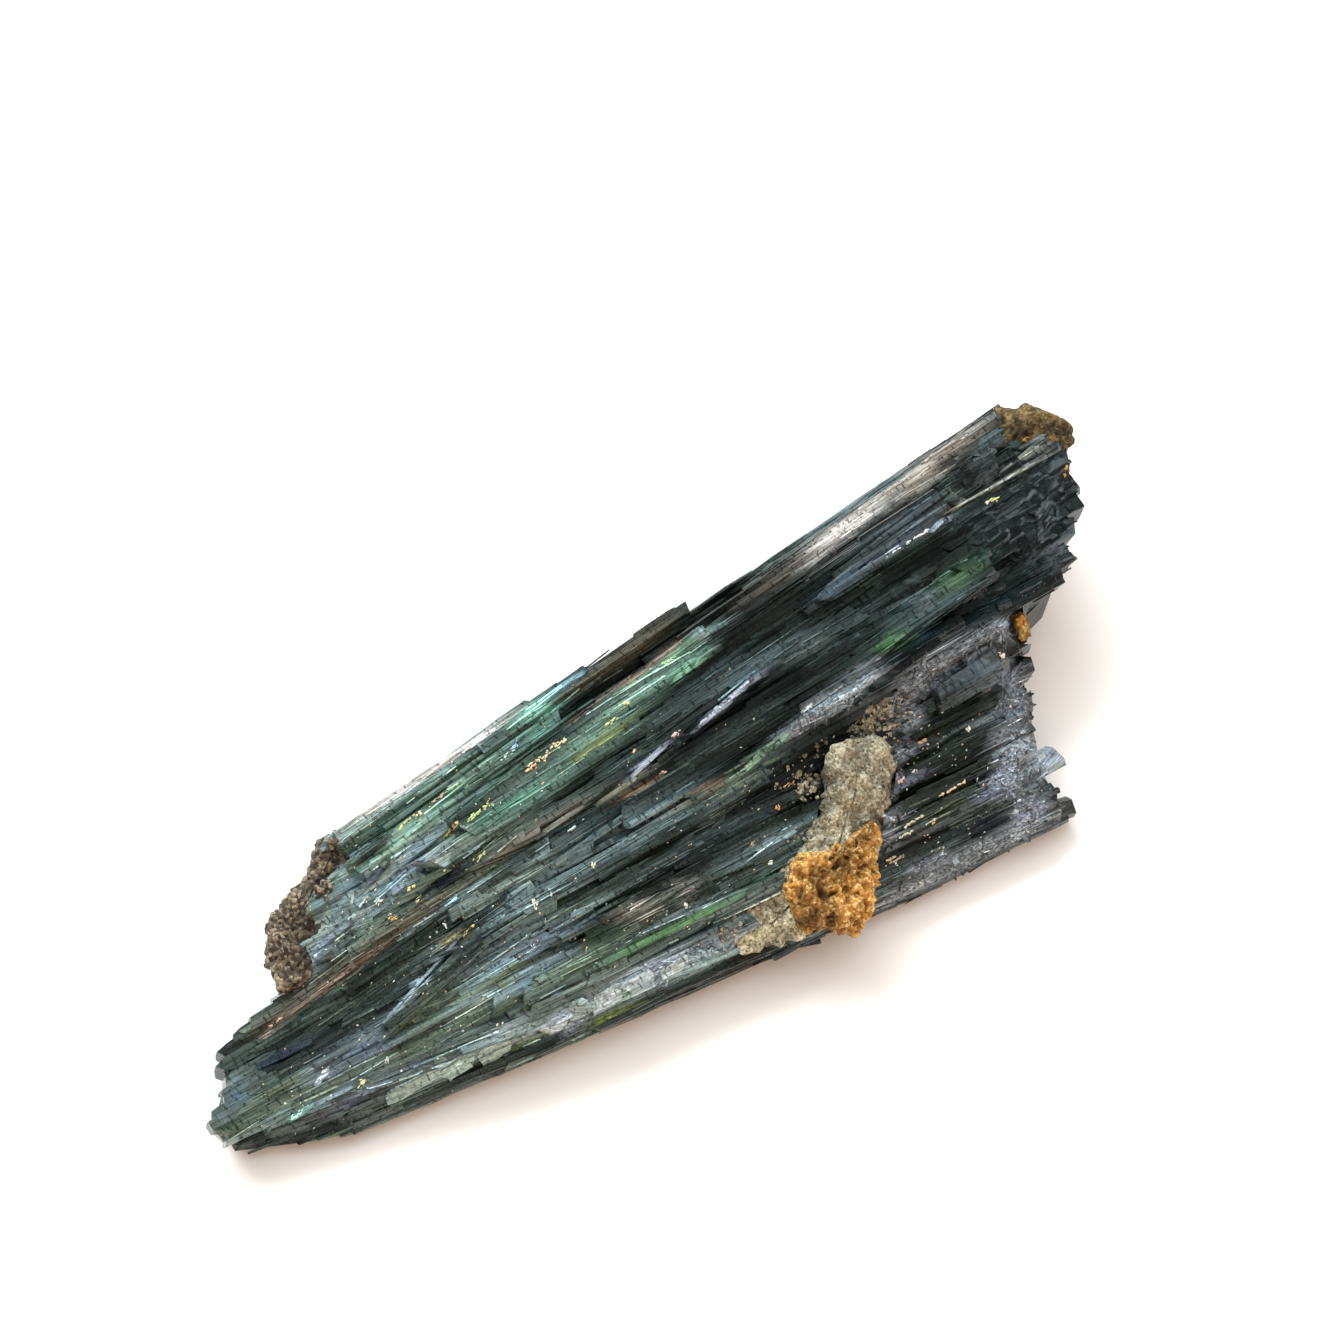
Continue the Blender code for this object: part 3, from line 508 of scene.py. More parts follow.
def lathPoints(centre, along, normal, size, rings, random):
    # a flattened six-sided profile carried along a straight path, one for each row of centre. size has length, width
    # and thickness. The profile's width and height waver a little on the way, and both ends are cut at a slant.
    p, count = lathShape, len(centre)
    side = unit(np.cross(normal, along))
    normal = np.cross(along, side)
    length, width, thickness = size.T
    bevel = random.uniform(*p["bevel"], count)
    half = np.ones(count)
    across = np.stack([half, half - bevel, bevel - half, -half, bevel - half, half - bevel], axis=1) / 2
    deep = np.array([-0.45, 0.0, 0.0, -0.4, -1.0, -1.0])
    step = np.linspace(-0.5, 0.5, rings)
    waver = 1 + random.uniform(-p["waver"], p["waver"], (count, rings))
    waver[:, [0, -1]] *= random.uniform(*p["endWidth"], (count, 2))
    lift = random.uniform(-p["lift"], p["lift"], (count, rings))
    u = across[:, None, :] * (waver * width[:, None])[:, :, None]
    v = deep * thickness[:, None, None] + lift[:, :, None]
    slant = np.zeros((count, rings, 1))
    slant[:, [0, -1], 0] = random.uniform(-p["slant"], p["slant"], (count, 2))
    w = (step[None, :] * length[:, None])[:, :, None] + slant * u
    points = (centre[:, None, None, :] + along[:, None, None, :] * w[..., None]
              + side[:, None, None, :] * u[..., None] + normal[:, None, None, :] * v[..., None])
    return points.reshape(-1, 3)


def addLaths(name, centre, along, normal, size, rings, random, tintOf):
    # tintOf gives each point's colour and powder from its layout and its lath's number. Each lath's grain is pushed
    # across by up to grainSlip mm, so that no two have the same streaks.
    grainSlip = 40
    points = lathPoints(centre, along, normal, size, rings, random)
    owner = np.repeat(np.arange(len(centre)), rings * 6)
    a, b = layoutOf(points)
    tint, powder = tintOf(a, b, owner)
    grain = grainOf(points)
    grain[:, 1] += random.uniform(0, grainSlip, len(centre))[owner]
    mesh = makeMesh(name, toWorld(points), tubeFaces(len(centre), rings, 6),
                    {"tint": tint, "powder": powder, "cracks": crackShare(a, b)}, grain)
    addPiece(name, mesh, crystalMaterial, ["vivianite_crystals"])


# ---- materials


def addNode(material, kind, settings=None, links=None):
    # settings are the node's own properties or, by name or number, its inputs' values; links feed its inputs
    node = material.node_tree.nodes.new(kind)
    for key, value in (settings or {}).items():
        if isinstance(key, int) or key in node.inputs:
            node.inputs[key].default_value = value
        else:
            setattr(node, key, value)
    for key, source in (links or {}).items():
        material.node_tree.links.new(source, node.inputs[key])
    return node


def newMaterial(name, settings):
    # settings are constant values of the surface shader's sockets
    material = bpy.data.materials.new(name)
    material.use_nodes = True
    shader = material.node_tree.nodes["Principled BSDF"]
    for key, value in settings.items():
        shader.inputs[key].default_value = value
    return material, shader, material.node_tree.links.new


crystalLook = {
    "polish": 0.12,                 # roughness of a clean cleavage face
    "powderRoughness": 0.8,
    "streakRoughness": 0.14,        # added at the brightest streaks
    "index": 1.6,                   # vivianite
    "streakWidth": 0.35,            # mm across the grain
    "streakLength": 5.0,
    "streakShade": (0.36, 1.28),
    "striaWidth": 0.07,             # mm; finer in nature, this coarse so that it shows
    "striaLength": 2.2,
    "striaShade": (0.55, 1.6),
    "breakLength": 0.9,             # mm across the grain
    "breakWidth": 0.2,              # mm along it
    "breakShade": 0.3,
    "crackSpacing": 1.05,           # mm across the grain
    "crackStretch": 1.5,            # as many times longer along it
    "crackWidth": 0.12,             # of the spacing
    "crackStrength": 0.6,
    "seam": "#66737a",
    "dustSize": 0.16,               # mm
    "dustContrast": (1.1, 2.8),     # of clean faces, of powder
    "relief": 0.045,                # mm
}


def makeCrystalMaterial():
    # Vivianite broken along its cleavage: glassy faces, nearly black where they don't catch the light, ruled with
    # striations along the blade. Where it is crushed it turns to a dull lilac-grey powder of fibres.
    look = crystalLook
    material, shader, link = newMaterial("vivianiteCleavage", {"IOR": look["index"]})
    tint = addNode(material, "ShaderNodeAttribute", {"attribute_name": "tint"})
    powder = addNode(material, "ShaderNodeAttribute", {"attribute_name": "powder"})
    cracked = addNode(material, "ShaderNodeAttribute", {"attribute_name": "cracks"})
    grain = addNode(material, "ShaderNodeUVMap", {"uv_map": "grain"})

    def streaks(width, length, detail):
        stretched = addNode(material, "ShaderNodeMapping", {"Scale": (1 / length, 1 / width, 1)},
                            {"Vector": grain.outputs[0]})
        return addNode(material, "ShaderNodeTexNoise", {"Scale": 1.0, "Detail": detail, "Roughness": 0.6},
                       {"Vector": stretched.outputs[0]}).outputs["Fac"]

    broad = streaks(look["streakWidth"], look["streakLength"], 3.0)
    fine = streaks(look["striaWidth"], look["striaLength"], 2.0)
    low, high = look["streakShade"]
    spread = addNode(material, "ShaderNodeMapRange", {"From Min": 0.3, "From Max": 0.7, "To Min": low, "To Max": high},
                     {"Value": broad})
    low, high = look["striaShade"]
    ruled = addNode(material, "ShaderNodeMapRange", {"From Min": 0.35, "From Max": 0.65, "To Min": low, "To Max": high},
                    {"Value": fine})
    # fine glitter and dust on it, much stronger where it is powder
    place = addNode(material, "ShaderNodeTexCoord")
    dust = addNode(material, "ShaderNodeTexNoise", {"Scale": 1 / (look["dustSize"] * mm), "Detail": 2.0},
                   {"Vector": place.outputs["Object"]})
    low, high = look["dustContrast"]
    contrast = addNode(material, "ShaderNodeMapRange", {"To Min": low, "To Max": high},
                       {"Value": powder.outputs["Fac"]})
    middling = addNode(material, "ShaderNodeMath", {"operation": "SUBTRACT", 1: 0.5}, {0: dust.outputs["Fac"]})
    dusted = addNode(material, "ShaderNodeMath", {"operation": "MULTIPLY_ADD", 2: 1.0},
                     {0: contrast.outputs[0], 1: middling.outputs[0]})
    # short dark breaks square across the blades
    across = streaks(look["breakLength"], look["breakWidth"], 1.0)
    breaks = addNode(material, "ShaderNodeMapRange",
                     {"From Min": 0.6, "From Max": 0.68, "To Min": 1.0, "To Max": look["breakShade"]},
                     {"Value": across})
    parted = addNode(material, "ShaderNodeMath", {"operation": "MULTIPLY"},
                     {0: ruled.outputs[0], 1: breaks.outputs[0]})
    lines = addNode(material, "ShaderNodeMath", {"operation": "MULTIPLY"},
                    {0: spread.outputs[0], 1: parted.outputs[0]})
    shade = addNode(material, "ShaderNodeMath", {"operation": "MULTIPLY"},
                    {0: lines.outputs[0], 1: dusted.outputs[0]})
    streaked = addNode(material, "ShaderNodeVectorMath", {"operation": "SCALE"},
                       {0: tint.outputs["Color"], "Scale": shade.outputs[0]})

    # dark blocks parted by dusty seams: the edges of cells about as long as they are wide
    spacing = look["crackSpacing"]
    cells = addNode(material, "ShaderNodeMapping", {"Scale": (1 / (look["crackStretch"] * spacing), 1 / spacing, 1)},
                    {"Vector": grain.outputs[0]})
    edge = addNode(material, "ShaderNodeTexVoronoi", {"feature": "DISTANCE_TO_EDGE", "Randomness": 0.85, "Scale": 1.0},
                   {"Vector": cells.outputs[0]})
    line = addNode(material, "ShaderNodeMapRange",
                   {"From Min": 0.0, "From Max": look["crackWidth"], "To Min": 1.0, "To Max": 0.0},
                   {"Value": edge.outputs["Distance"]})
    crack = addNode(material, "ShaderNodeMath", {"operation": "MULTIPLY"},
                    {0: line.outputs[0], 1: cracked.outputs["Fac"]})
    some = addNode(material, "ShaderNodeMapRange",
                   {"From Min": 0.38, "From Max": 0.56, "To Min": 0.0, "To Max": look["crackStrength"]},
                   {"Value": broad})
    broken = addNode(material, "ShaderNodeMath", {"operation": "MULTIPLY"}, {0: crack.outputs[0], 1: some.outputs[0]})
    colour = addNode(material, "ShaderNodeMix", {"data_type": "RGBA", 7: (*linear(look["seam"]), 1)},
                     {0: broken.outputs[0], 6: streaked.outputs[0]})
    link(colour.outputs[2], shader.inputs["Base Color"])

    rough = addNode(material, "ShaderNodeMapRange",
                    {"To Min": look["polish"], "To Max": look["powderRoughness"]},
                    {"Value": powder.outputs["Fac"]})
    worn = addNode(material, "ShaderNodeMapRange",
                   {"From Min": 0.3, "From Max": 0.7, "To Min": 0.0, "To Max": look["streakRoughness"]},
                   {"Value": broad})
    total = addNode(material, "ShaderNodeMath", {"operation": "ADD", "use_clamp": True},
                    {0: rough.outputs[0], 1: worn.outputs[0]})
    link(total.outputs[0], shader.inputs["Roughness"])

    # relief: ridges of the streaks and striations, rubble on the powder, steps at the breaks, grooves at the cracks
    ridges = addNode(material, "ShaderNodeMath", {"operation": "MULTIPLY_ADD", 1: 0.6}, {0: fine, 2: broad})
    rubble = addNode(material, "ShaderNodeMath", {"operation": "MULTIPLY"},
                     {0: dust.outputs["Fac"], 1: powder.outputs["Fac"]})
    height = addNode(material, "ShaderNodeMath", {"operation": "MULTIPLY_ADD", 1: 2.5},
                     {0: rubble.outputs[0], 2: ridges.outputs[0]})
    stepped = addNode(material, "ShaderNodeMath", {"operation": "MULTIPLY_ADD", 1: 1.5},
                      {0: breaks.outputs[0], 2: height.outputs[0]})
    grooved = addNode(material, "ShaderNodeMath", {"operation": "MULTIPLY_ADD", 1: -2.5},
                      {0: crack.outputs[0], 2: stepped.outputs[0]})
    relief = addNode(material, "ShaderNodeBump", {"Strength": 0.8, "Distance": look["relief"] * mm},
                     {"Height": grooved.outputs[0]})
    link(relief.outputs[0], shader.inputs["Normal"])
    return material


crystalMaterial = makeCrystalMaterial()


def makePaintedGlintMaterial():
    # thin cleavage flakes lifted off the blades, bright white, mint or gold: painted glints
    material, shader, link = newMaterial("paintedGlintFlake", {"IOR": 1.6, "Roughness": 0.22})
    tint = addNode(material, "ShaderNodeAttribute", {"attribute_name": "tint"})
    link(tint.outputs["Color"], shader.inputs["Base Color"])
    return material


earthyLooks = {
    # fine sand held by a little clay, broken: grey-yellow grains, quite dull. Sizes are in mm.
    "sandyMatrix": {"colours": ("#5d5a46", "#958f76", "#c2bea9", "#7c775c", "#aba58b"), "grain": 0.13,
                    "roughness": 0.95, "relief": 0.12},
    # limonite grown as a porous crust: rust and ochre grains, a little less dull
    "limoniteCrust": {"colours": ("#6a4019", "#b07e33", "#96641f", "#d6b674", "#7c4b22"), "grain": 0.14,
                      "roughness": 0.9, "relief": 0.1},
    # clay dried to crumbs: dark between the crumbs, tan on them
    "dryClay": {"colours": ("#26221c", "#584e41", "#9c8f74", "#3a342d", "#6e6453"), "grain": 0.18,
                "roughness": 0.95, "relief": 0.12},
    # a thin film of limonite mixed with clay: yellow-brown
    "limoniteCap": {"colours": ("#443924", "#6e5e3c", "#95825a", "#54462b", "#7d6035"), "grain": 0.16,
                    "roughness": 0.95, "relief": 0.1},
}


def makeGrainMaterial(name):
    # Loose earthy mineral, dull, each grain its own colour: cells of the grain's size pick between the colours and
    # stand out as bumps. Patches ten grains wide are darker or lighter, and the mesh's painted shading makes hollows
    # darker and high places lighter.
    look, patchSize = earthyLooks[name], 1.4
    material, shader, link = newMaterial(name, {"IOR": 1.5, "Roughness": look["roughness"]})
    place = addNode(material, "ShaderNodeTexCoord")
    cells = addNode(material, "ShaderNodeTexVoronoi", {"Scale": 1 / (look["grain"] * mm)},
                    {"Vector": place.outputs["Object"]})
    pick = addNode(material, "ShaderNodeSeparateColor", {}, {"Color": cells.outputs["Color"]})
    ramp = addNode(material, "ShaderNodeValToRGB", {}, {"Fac": pick.outputs[0]})
    colours, stops = look["colours"], ramp.color_ramp.elements
    stops[0].color = (*linear(colours[0]), 1)
    stops[1].color = (*linear(colours[-1]), 1)
    for k, colour in enumerate(colours[1:-1], 1):
        stops.new(k / (len(colours) - 1)).color = (*linear(colour), 1)
    patches = addNode(material, "ShaderNodeTexNoise", {"Scale": 1 / (patchSize * mm), "Detail": 4.0},
                      {"Vector": place.outputs["Object"]})
    shade = addNode(material, "ShaderNodeMapRange", {"From Min": 0.3, "From Max": 0.7, "To Min": 0.6, "To Max": 1.35},
                    {"Value": patches.outputs["Fac"]})
    paintedShadingAndPatches = addNode(material, "ShaderNodeAttribute", {"attribute_name": "paintedShadingAndPatches"})
    shaded = addNode(material, "ShaderNodeMath", {"operation": "MULTIPLY"},
                     {0: shade.outputs[0], 1: paintedShadingAndPatches.outputs["Fac"]})
    colour = addNode(material, "ShaderNodeVectorMath", {"operation": "SCALE"},
                     {0: ramp.outputs[0], "Scale": shaded.outputs[0]})
    link(colour.outputs[0], shader.inputs["Base Color"])
    relief = addNode(material, "ShaderNodeBump", {"Strength": 0.8, "Distance": look["relief"] * mm, "invert": True},
                     {"Height": cells.outputs["Distance"]})
    link(relief.outputs[0], shader.inputs["Normal"])
    return material


sandMaterial = makeGrainMaterial("sandyMatrix")
limoniteMaterial = makeGrainMaterial("limoniteCrust")
clayMaterial = makeGrainMaterial("dryClay")
capMaterial = makeGrainMaterial("limoniteCap")
paintedGlintMaterial = makePaintedGlintMaterial()
print("materials made")

# ---- the crystals' own faces: a copy of the solid, divided finely enough to carry the colours

crystalBody = {
    "longestEdge": 0.65,    # mm
    "passes": 7,
    "brightness": 0.95,     # of the zones' colours on the body, against those of the laths on it
}


def crystalFaces():
    # every edge longer than longestEdge is halved until none is left
    bm = bmesh.new()
    bm.from_mesh(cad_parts["vivianite_crystals"].data)
    bmesh.ops.remove_doubles(bm, verts=bm.verts, dist=1e-7)
    bmesh.ops.recalc_face_normals(bm, faces=bm.faces)
    for _ in range(crystalBody["passes"]):
        tooLong = [e for e in bm.edges if e.calc_length() > crystalBody["longestEdge"] * mm]
        if not tooLong:
            break
        bmesh.ops.subdivide_edges(bm, edges=tooLong, cuts=1)
        bmesh.ops.triangulate(bm, faces=bm.faces)
    mesh = bpy.data.meshes.new("dividedCrystals")
    bm.to_mesh(mesh)
    bm.free()
    return mesh


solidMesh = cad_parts["vivianite_crystals"].data
solidMesh.calc_loop_triangles()
solidPoints = toFace(readArray(solidMesh.vertices, "co", 3, np.float32).astype(np.float64))
solidTriangles = readArray(solidMesh.loop_triangles, "vertices", 3, np.int32)
surfaceTree = BVHTree.FromPolygons([Vector(p) for p in solidPoints], solidTriangles.tolist())

divided = crystalFaces()
bodyPoints = toFace(readArray(divided.vertices, "co", 3, np.float32).astype(np.float64))
bodyFaces = readArray(divided.loops, "vertex_index", 1, np.int32).reshape(-1, 3)
bodyA, bodyB = layoutOf(bodyPoints)
bodyGround = groundAt(bodyA, bodyB, grainOf(bodyPoints)[:, 1])
bodyTint, bodyPowder = zoneTint(bodyA, bodyB, bodyGround, np.full(len(bodyPoints), crystalBody["brightness"]))
bladeMesh = makeMesh("crystalBlades", toWorld(bodyPoints), bodyFaces.tolist(),
                     {"tint": bodyTint, "powder": bodyPowder, "cracks": crackShare(bodyA, bodyB)},
                     grainOf(bodyPoints))
addPiece("crystalBlades", bladeMesh, crystalMaterial, ["vivianite_crystals"])

# ---- fine laths lying on those faces, on all sides


def onSurface(count, random, seenShare):
    # points strewn over the solid's triangles by area, seenShare times as many where it faces the front, and normals
    p, q, r = (solidPoints[solidTriangles[:, k]] for k in range(3))
    normals = np.cross(q - p, r - p)
    areas = np.linalg.norm(normals, axis=1)
    normals = normals / np.maximum(areas, 1e-12)[:, None]
    share = areas * np.where(normals @ sightLine > 0.1, seenShare, 1.0)
    pick = random.choice(len(areas), count, p=share / share.sum())
    s, t = random.uniform(0, 1, (2, count))
    over = s + t > 1
    s[over], t[over] = 1 - s[over], 1 - t[over]
    return p[pick] + s[:, None] * (q - p)[pick] + t[:, None] * (r - p)[pick], normals[pick]


def turned(vectors, axes, degrees):
    # each vector turned about its own axis, by the rule of Rodrigues
    angle = np.radians(degrees)[:, None]
    return (vectors * np.cos(angle) + np.cross(axes, vectors) * np.sin(angle)
            + axes * np.sum(axes * vectors, axis=1)[:, None] * (1 - np.cos(angle)))


def gapTo(points):
    # distance from each point to the nearest spot of the solid's surface
    return np.array([surfaceTree.find_nearest(Vector(p))[3] for p in points])


def tintRule(random, spots, spread, brighten=1.0):
    # each lath has its strip's ground colour and one brightness of its own, with the zones laid over. brighten scales
    # that brightness; for the hairlines it paints highlights.
    across = grainOf(spots)[:, 1]
    jitter = np.exp(random.normal(0, spread, len(spots))) * brighten

    def rule(a, b, owner):
        ground = groundAt(a, b, across[owner]) * jitter[owner][:, None]
        return zoneTint(a, b, ground, jitter[owner])
    return rule


# laths: thin blades lying along the crystals. Sizes are in mm.
fineLaths = {
    "count": 6000,      # spots tried
    "most": 2700,       # and laths kept
    "length": (2.0, 19.0),
    "width": (0.1, 0.75),
    "thickness": 0.3,
    "lift": (0.0, 0.05),
    "tilt": 6.0,        # degrees about the blade's own length
    "turn": 0.8,        # degrees off the growth direction
    "seenShare": 1.5,   # as many times as on the hidden side
    "spread": 0.26,     # of their brightness
    "brighten": 1.0,
    "rings": 6,
}
# and hairlines: the thinnest ones, their colour brightened into painted highlights along the grain
hairlines = {
    "count": 2600,
    "most": 1100,
    "length": (0.6, 7.0),
    "width": (0.03, 0.08),
    "thickness": 0.08,
    "lift": (0.05, 0.12),
    "tilt": 20.0,
    "turn": 2.5,
    "seenShare": 4.0,
    "spread": 0.5,
    # their colour is multiplied by this: painted highlights
    "brighten": 2.6,
    "rings": 4,
}
# short blocks with square ends: the steps at the wide end of the upper crystals
stepBlocks = {
    "within": (23.6, 9.4, 4.6, 4.8),    # a, b and their reaches
    "count": 9000,
    "most": 170,
    "length": (0.5, 2.6),
    "width": (0.35, 1.2),
    "thickness": 0.5,
    "lift": (-0.05, 0.12),
    "tilt": 9.0,
    "turn": 2.0,
    "seenShare": 3.0,
    "spread": 0.4,
    "brighten": 0.7,
    "rings": 2,
}
strewing = {
    "lengthSkew": (1.2, 3.0),   # of the beta distribution: most are short
    "widthSkew": (1.2, 2.4),    # and narrow
    "overhang": 0.2,            # mm, most that an end may stand off the solid
    "steepest": 0.5,            # most of the growth direction that may point out of the face
}


def strewLaths(name, p, seed):
    # laths at random spots on the solid, turned along the growth and laid on the face there. Those with an end off
    # the solid are left out.
    random = np.random.default_rng(seed)
    spot, normal = onSurface(p["count"], random, p["seenShare"])
    along = turned(flattened(growthAt(spot), normal), normal, random.normal(0, p["turn"], len(spot)))
    normal = turned(normal, along, random.normal(0, p["tilt"], len(spot)))
    length = p["length"][0] + (p["length"][1] - p["length"][0]) * random.beta(*strewing["lengthSkew"], len(spot))
    width = p["width"][0] + (p["width"][1] - p["width"][0]) * random.beta(*strewing["widthSkew"], len(spot))
    lift = random.uniform(*p["lift"], len(spot))
    centre = spot + normal * lift[:, None]
    keep = np.abs(np.sum(growthAt(spot) * normal, axis=1)) < strewing["steepest"]
    for way in (-0.5, 0.5):
        keep &= gapTo(centre + along * (way * length)[:, None]) < strewing["overhang"]
    if "within" in p:
        a, b = layoutOf(spot)
        keep &= (np.abs(a - p["within"][0]) < p["within"][2]) & (np.abs(b - p["within"][1]) < p["within"][3])
    keep = np.flatnonzero(keep)[:p["most"]]
    size = np.stack([length, width, np.full(len(spot), p["thickness"])], axis=1)[keep]
    rule = tintRule(random, centre[keep], p["spread"], p["brighten"])
    addLaths(name, centre[keep], along[keep], normal[keep], size, p["rings"], random, rule)


strewLaths("fineLaths", fineLaths, 7)
strewLaths("hairlines", hairlines, 29)
strewLaths("stepBlocks", stepBlocks, 41)

# ---- the crystals that stand out by colour, laid over the others where the zones are


def sightHits(a, b):
    # where the lines of sight through a, b meet the solid, and the normals there; nan where they miss
    clear = 9    # mm, a height that nothing reaches
    start = np.column_stack([a, b, np.zeros(len(a))]) + sightLine * clear
    spots, normals = np.full((len(a), 3), np.nan), np.full((len(a), 3), np.nan)
    for k, point in enumerate(start):
        spot, normal, _, _ = surfaceTree.ray_cast(Vector(point), Vector(-sightLine))
        if spot is not None:
            spots[k], normals[k] = spot, normal
    return spots, normals


leadingLaths = {
    "widest": 0.33,             # half width of the widest zone that becomes laths
    "broadest": 0.5,            # width above which a zone is split over more laths
    "cover": 1.7,               # width of its laths together, in half widths of the zone
    "slip": 0.22,               # most that laths side by side are shifted along, of the half length
    "samples": 7,
    "mostBulge": 0.9,           # mm that the solid may stand over the lath's line
    "mostRaised": 0.35,         # mm that the line is raised to clear it
    "lift": (0.03, 0.08),
    "thickness": 0.4,
    "upright": 0.35,            # how far it is turned to face out of the broad side
    "spread": 0.13,             # of its brightness
    "rings": 9,
    "fade": 0.75,               # of the colour towards the ends
    "fadeFrom": 0.45,           # of the half length
}


# The angular pale faces of the front band: a, b, half length, half width, slope, colour. Their paleness is partly
# powder and partly painted reflection of the pale floor. They are wide, so each is one lath, lifted a little more,
# partly powder, and hardly faded.
paleFaces = (
    (-18.6, -8.0, 1.5, 0.34, 9, "#a3b7b1"), (-16.2, -7.95, 1.1, 0.42, 12, "#93a9a1"),
    (-14.2, -7.8, 0.9, 0.62, 16, "#adc0bb"), (-12.6, -7.75, 0.7, 0.70, 12, "#92a4a7"),
    (-11.1, -7.6, 0.7, 0.70, 14, "#b3c0c5"), (-9.6, -7.4, 0.7, 0.62, 8, "#98a9a5"),
    (-7.9, -7.3, 0.8, 0.55, 12, "#aab9bd"), (-6.1, -7.15, 0.9, 0.48, 7, "#9cacb1"),
    (-4.2, -7.1, 0.9, 0.42, 9, "#a3b2b3"),
)
paleFinish = {"powder": 0.5, "lift": 0.1, "fade": 0.15}


def makeLeadingLaths():
    # each narrow zone that isn't powder becomes a lath as long as it, or some side by side. A lath is a straight line
    # over the points where the lines of sight meet the solid, raised until it clears them.
    p, random = leadingLaths, np.random.default_rng(23)
    centre, along, normal, size, tint, powder = [], [], [], [], [], []
    narrow = [row for row in zones if row[7] <= 0.35 and row[3] <= p["widest"]]
    for row in narrow + [row + (1.0, paleFinish["powder"]) for row in paleFaces]:
        slope, pale = math.radians(row[4]), row[3] > p["widest"]
        count = 1 if pale else max(1, math.ceil(p["cover"] * row[3] / p["broadest"]))
        width = p["cover"] * row[3] / count
        for k in range(count):
            aside = (k - (count - 1) / 2) * width
            slip = random.uniform(-p["slip"], p["slip"]) * row[2] if count > 1 else 0.0
            reach = np.linspace(-1, 1, p["samples"]) * row[2] * random.uniform(0.8, 1.1)
            a = row[0] + (slip + reach) * math.cos(slope) - aside * math.sin(slope)
            b = row[1] + (slip + reach) * math.sin(slope) + aside * math.cos(slope)
            spots, normals = sightHits(a, b)
            hit = ~np.isnan(spots[:, 0])
            if hit.sum() < 3:
                continue
            a, b, h = a[hit], b[hit], spots[hit, 2]
            line = np.polyfit(reach[hit], h, 1)
            over = h - np.polyval(line, reach[hit])
            if over.max() > p["mostBulge"]:
                continue
            h = np.polyval(line, reach[hit]) + min(over.max(), p["mostRaised"]) + random.uniform(*p["lift"])
            h += paleFinish["lift"] if pale else 0.0
            track = np.column_stack([a + face["lean"][0] * h, b + face["lean"][1] * h, h])
            centre.append((track[0] + track[-1]) / 2)
            run = track[-1] - track[0]
            along.append(run / np.linalg.norm(run))
            outward = np.nanmean(normals[hit], axis=0) + (0, 0, p["upright"]) + random.normal(0, 0.05, 3)
            normal.append(outward - along[-1] * (outward @ along[-1]))
            size.append((np.linalg.norm(run), width * random.uniform(0.95, 1.15), p["thickness"]))
            tint.append(linear(row[5]) * math.exp(random.normal(0, p["spread"])))
            powder.append(row[7])
    centre, along, normal, size, tint, powder = (np.array(x) for x in (centre, along, normal, size, tint, powder))
    middleA, middleB = layoutOf(centre)
    across = grainOf(centre)[:, 1]

    def fading(a, b, owner):
        # full colour over the middle of each lath, mixed with the ground's towards its ends
        reach = np.hypot(a - middleA[owner], b - middleB[owner]) / (size[owner, 0] * 0.5)
        fade = np.where(size[owner, 1] > 0.55, paleFinish["fade"], p["fade"])
        weight = (1 - fade * np.clip((reach - p["fadeFrom"]) / (1 - p["fadeFrom"]), 0, 1))[:, None]
        return groundAt(a, b, across[owner]) * (1 - weight) + tint[owner] * weight, powder[owner]
    addLaths("leadingLaths", centre, along, unit(normal), size, p["rings"], random, fading)


makeLeadingLaths()

# ---- blades that stand out at the narrow end

endBlades = {
    # a and b of the free end, width
    "rows": (
        (-24.3, -2.2, 0.8), (-25.4, -2.6, 0.9), (-26.3, -3.1, 0.8), (-26.6, -3.8, 0.9), (-26.6, -4.6, 0.8),
        (-27.0, -5.3, 0.9), (-27.9, -6.0, 0.8), (-28.5, -6.5, 0.8), (-27.6, -6.9, 0.7), (-26.9, -5.0, 0.4),
        (-25.9, -2.9, 0.35), (-24.9, -2.45, 0.4),
    ),
    "root": (2.5, 0.65),        # from the free end, in a and b
    "length": 2.8,
    "forward": 1.3,             # mm from the root to the blade's middle
    "sunk": 0.05,
    "thickness": (0.7, 1.3),
    "tilt": 0.12,
    "spread": 0.25,
}


def makeEndBlades():
    # each is rooted where the line of sight meets the solid, a little in from its free end
    p, random = endBlades, np.random.default_rng(41)
    rows = np.array(p["rows"])
    spots, normals = sightHits(rows[:, 0] + p["root"][0], rows[:, 1] + p["root"][1])
    hit = ~np.isnan(spots[:, 0])
    rows, spots = rows[hit], spots[hit]
    along = growthAt(spots)
    centre = spots - along * p["forward"] - (0, 0, p["sunk"])
    tilt = random.normal(0, p["tilt"], len(spots))
    up = unit(np.column_stack([np.zeros(len(spots)), tilt, np.ones(len(spots))]))
    size = np.column_stack([np.full(len(spots), p["length"]), rows[:, 2],
                            random.uniform(*p["thickness"], len(spots))])
    addLaths("endBlades", centre, along, up, size, 6, random, tintRule(random, spots, p["spread"]))


makeEndBlades()

# ---- splinters where the crystals are crushed

splinters = {
    "tries": 60000,
    "most": 5000,
    "seenShare": 3.0,
    "powder": (0.35, 1.3),      # a splinter stays where the powder is more than a random value between these
    "length": (0.25, 1.0),
    "width": (0.06, 0.24),
    "thickness": 0.25,
    "lift": (0.04, 0.16),
    "turn": 45.0,
    "tilt": 28.0,
    "spread": 0.32,
}


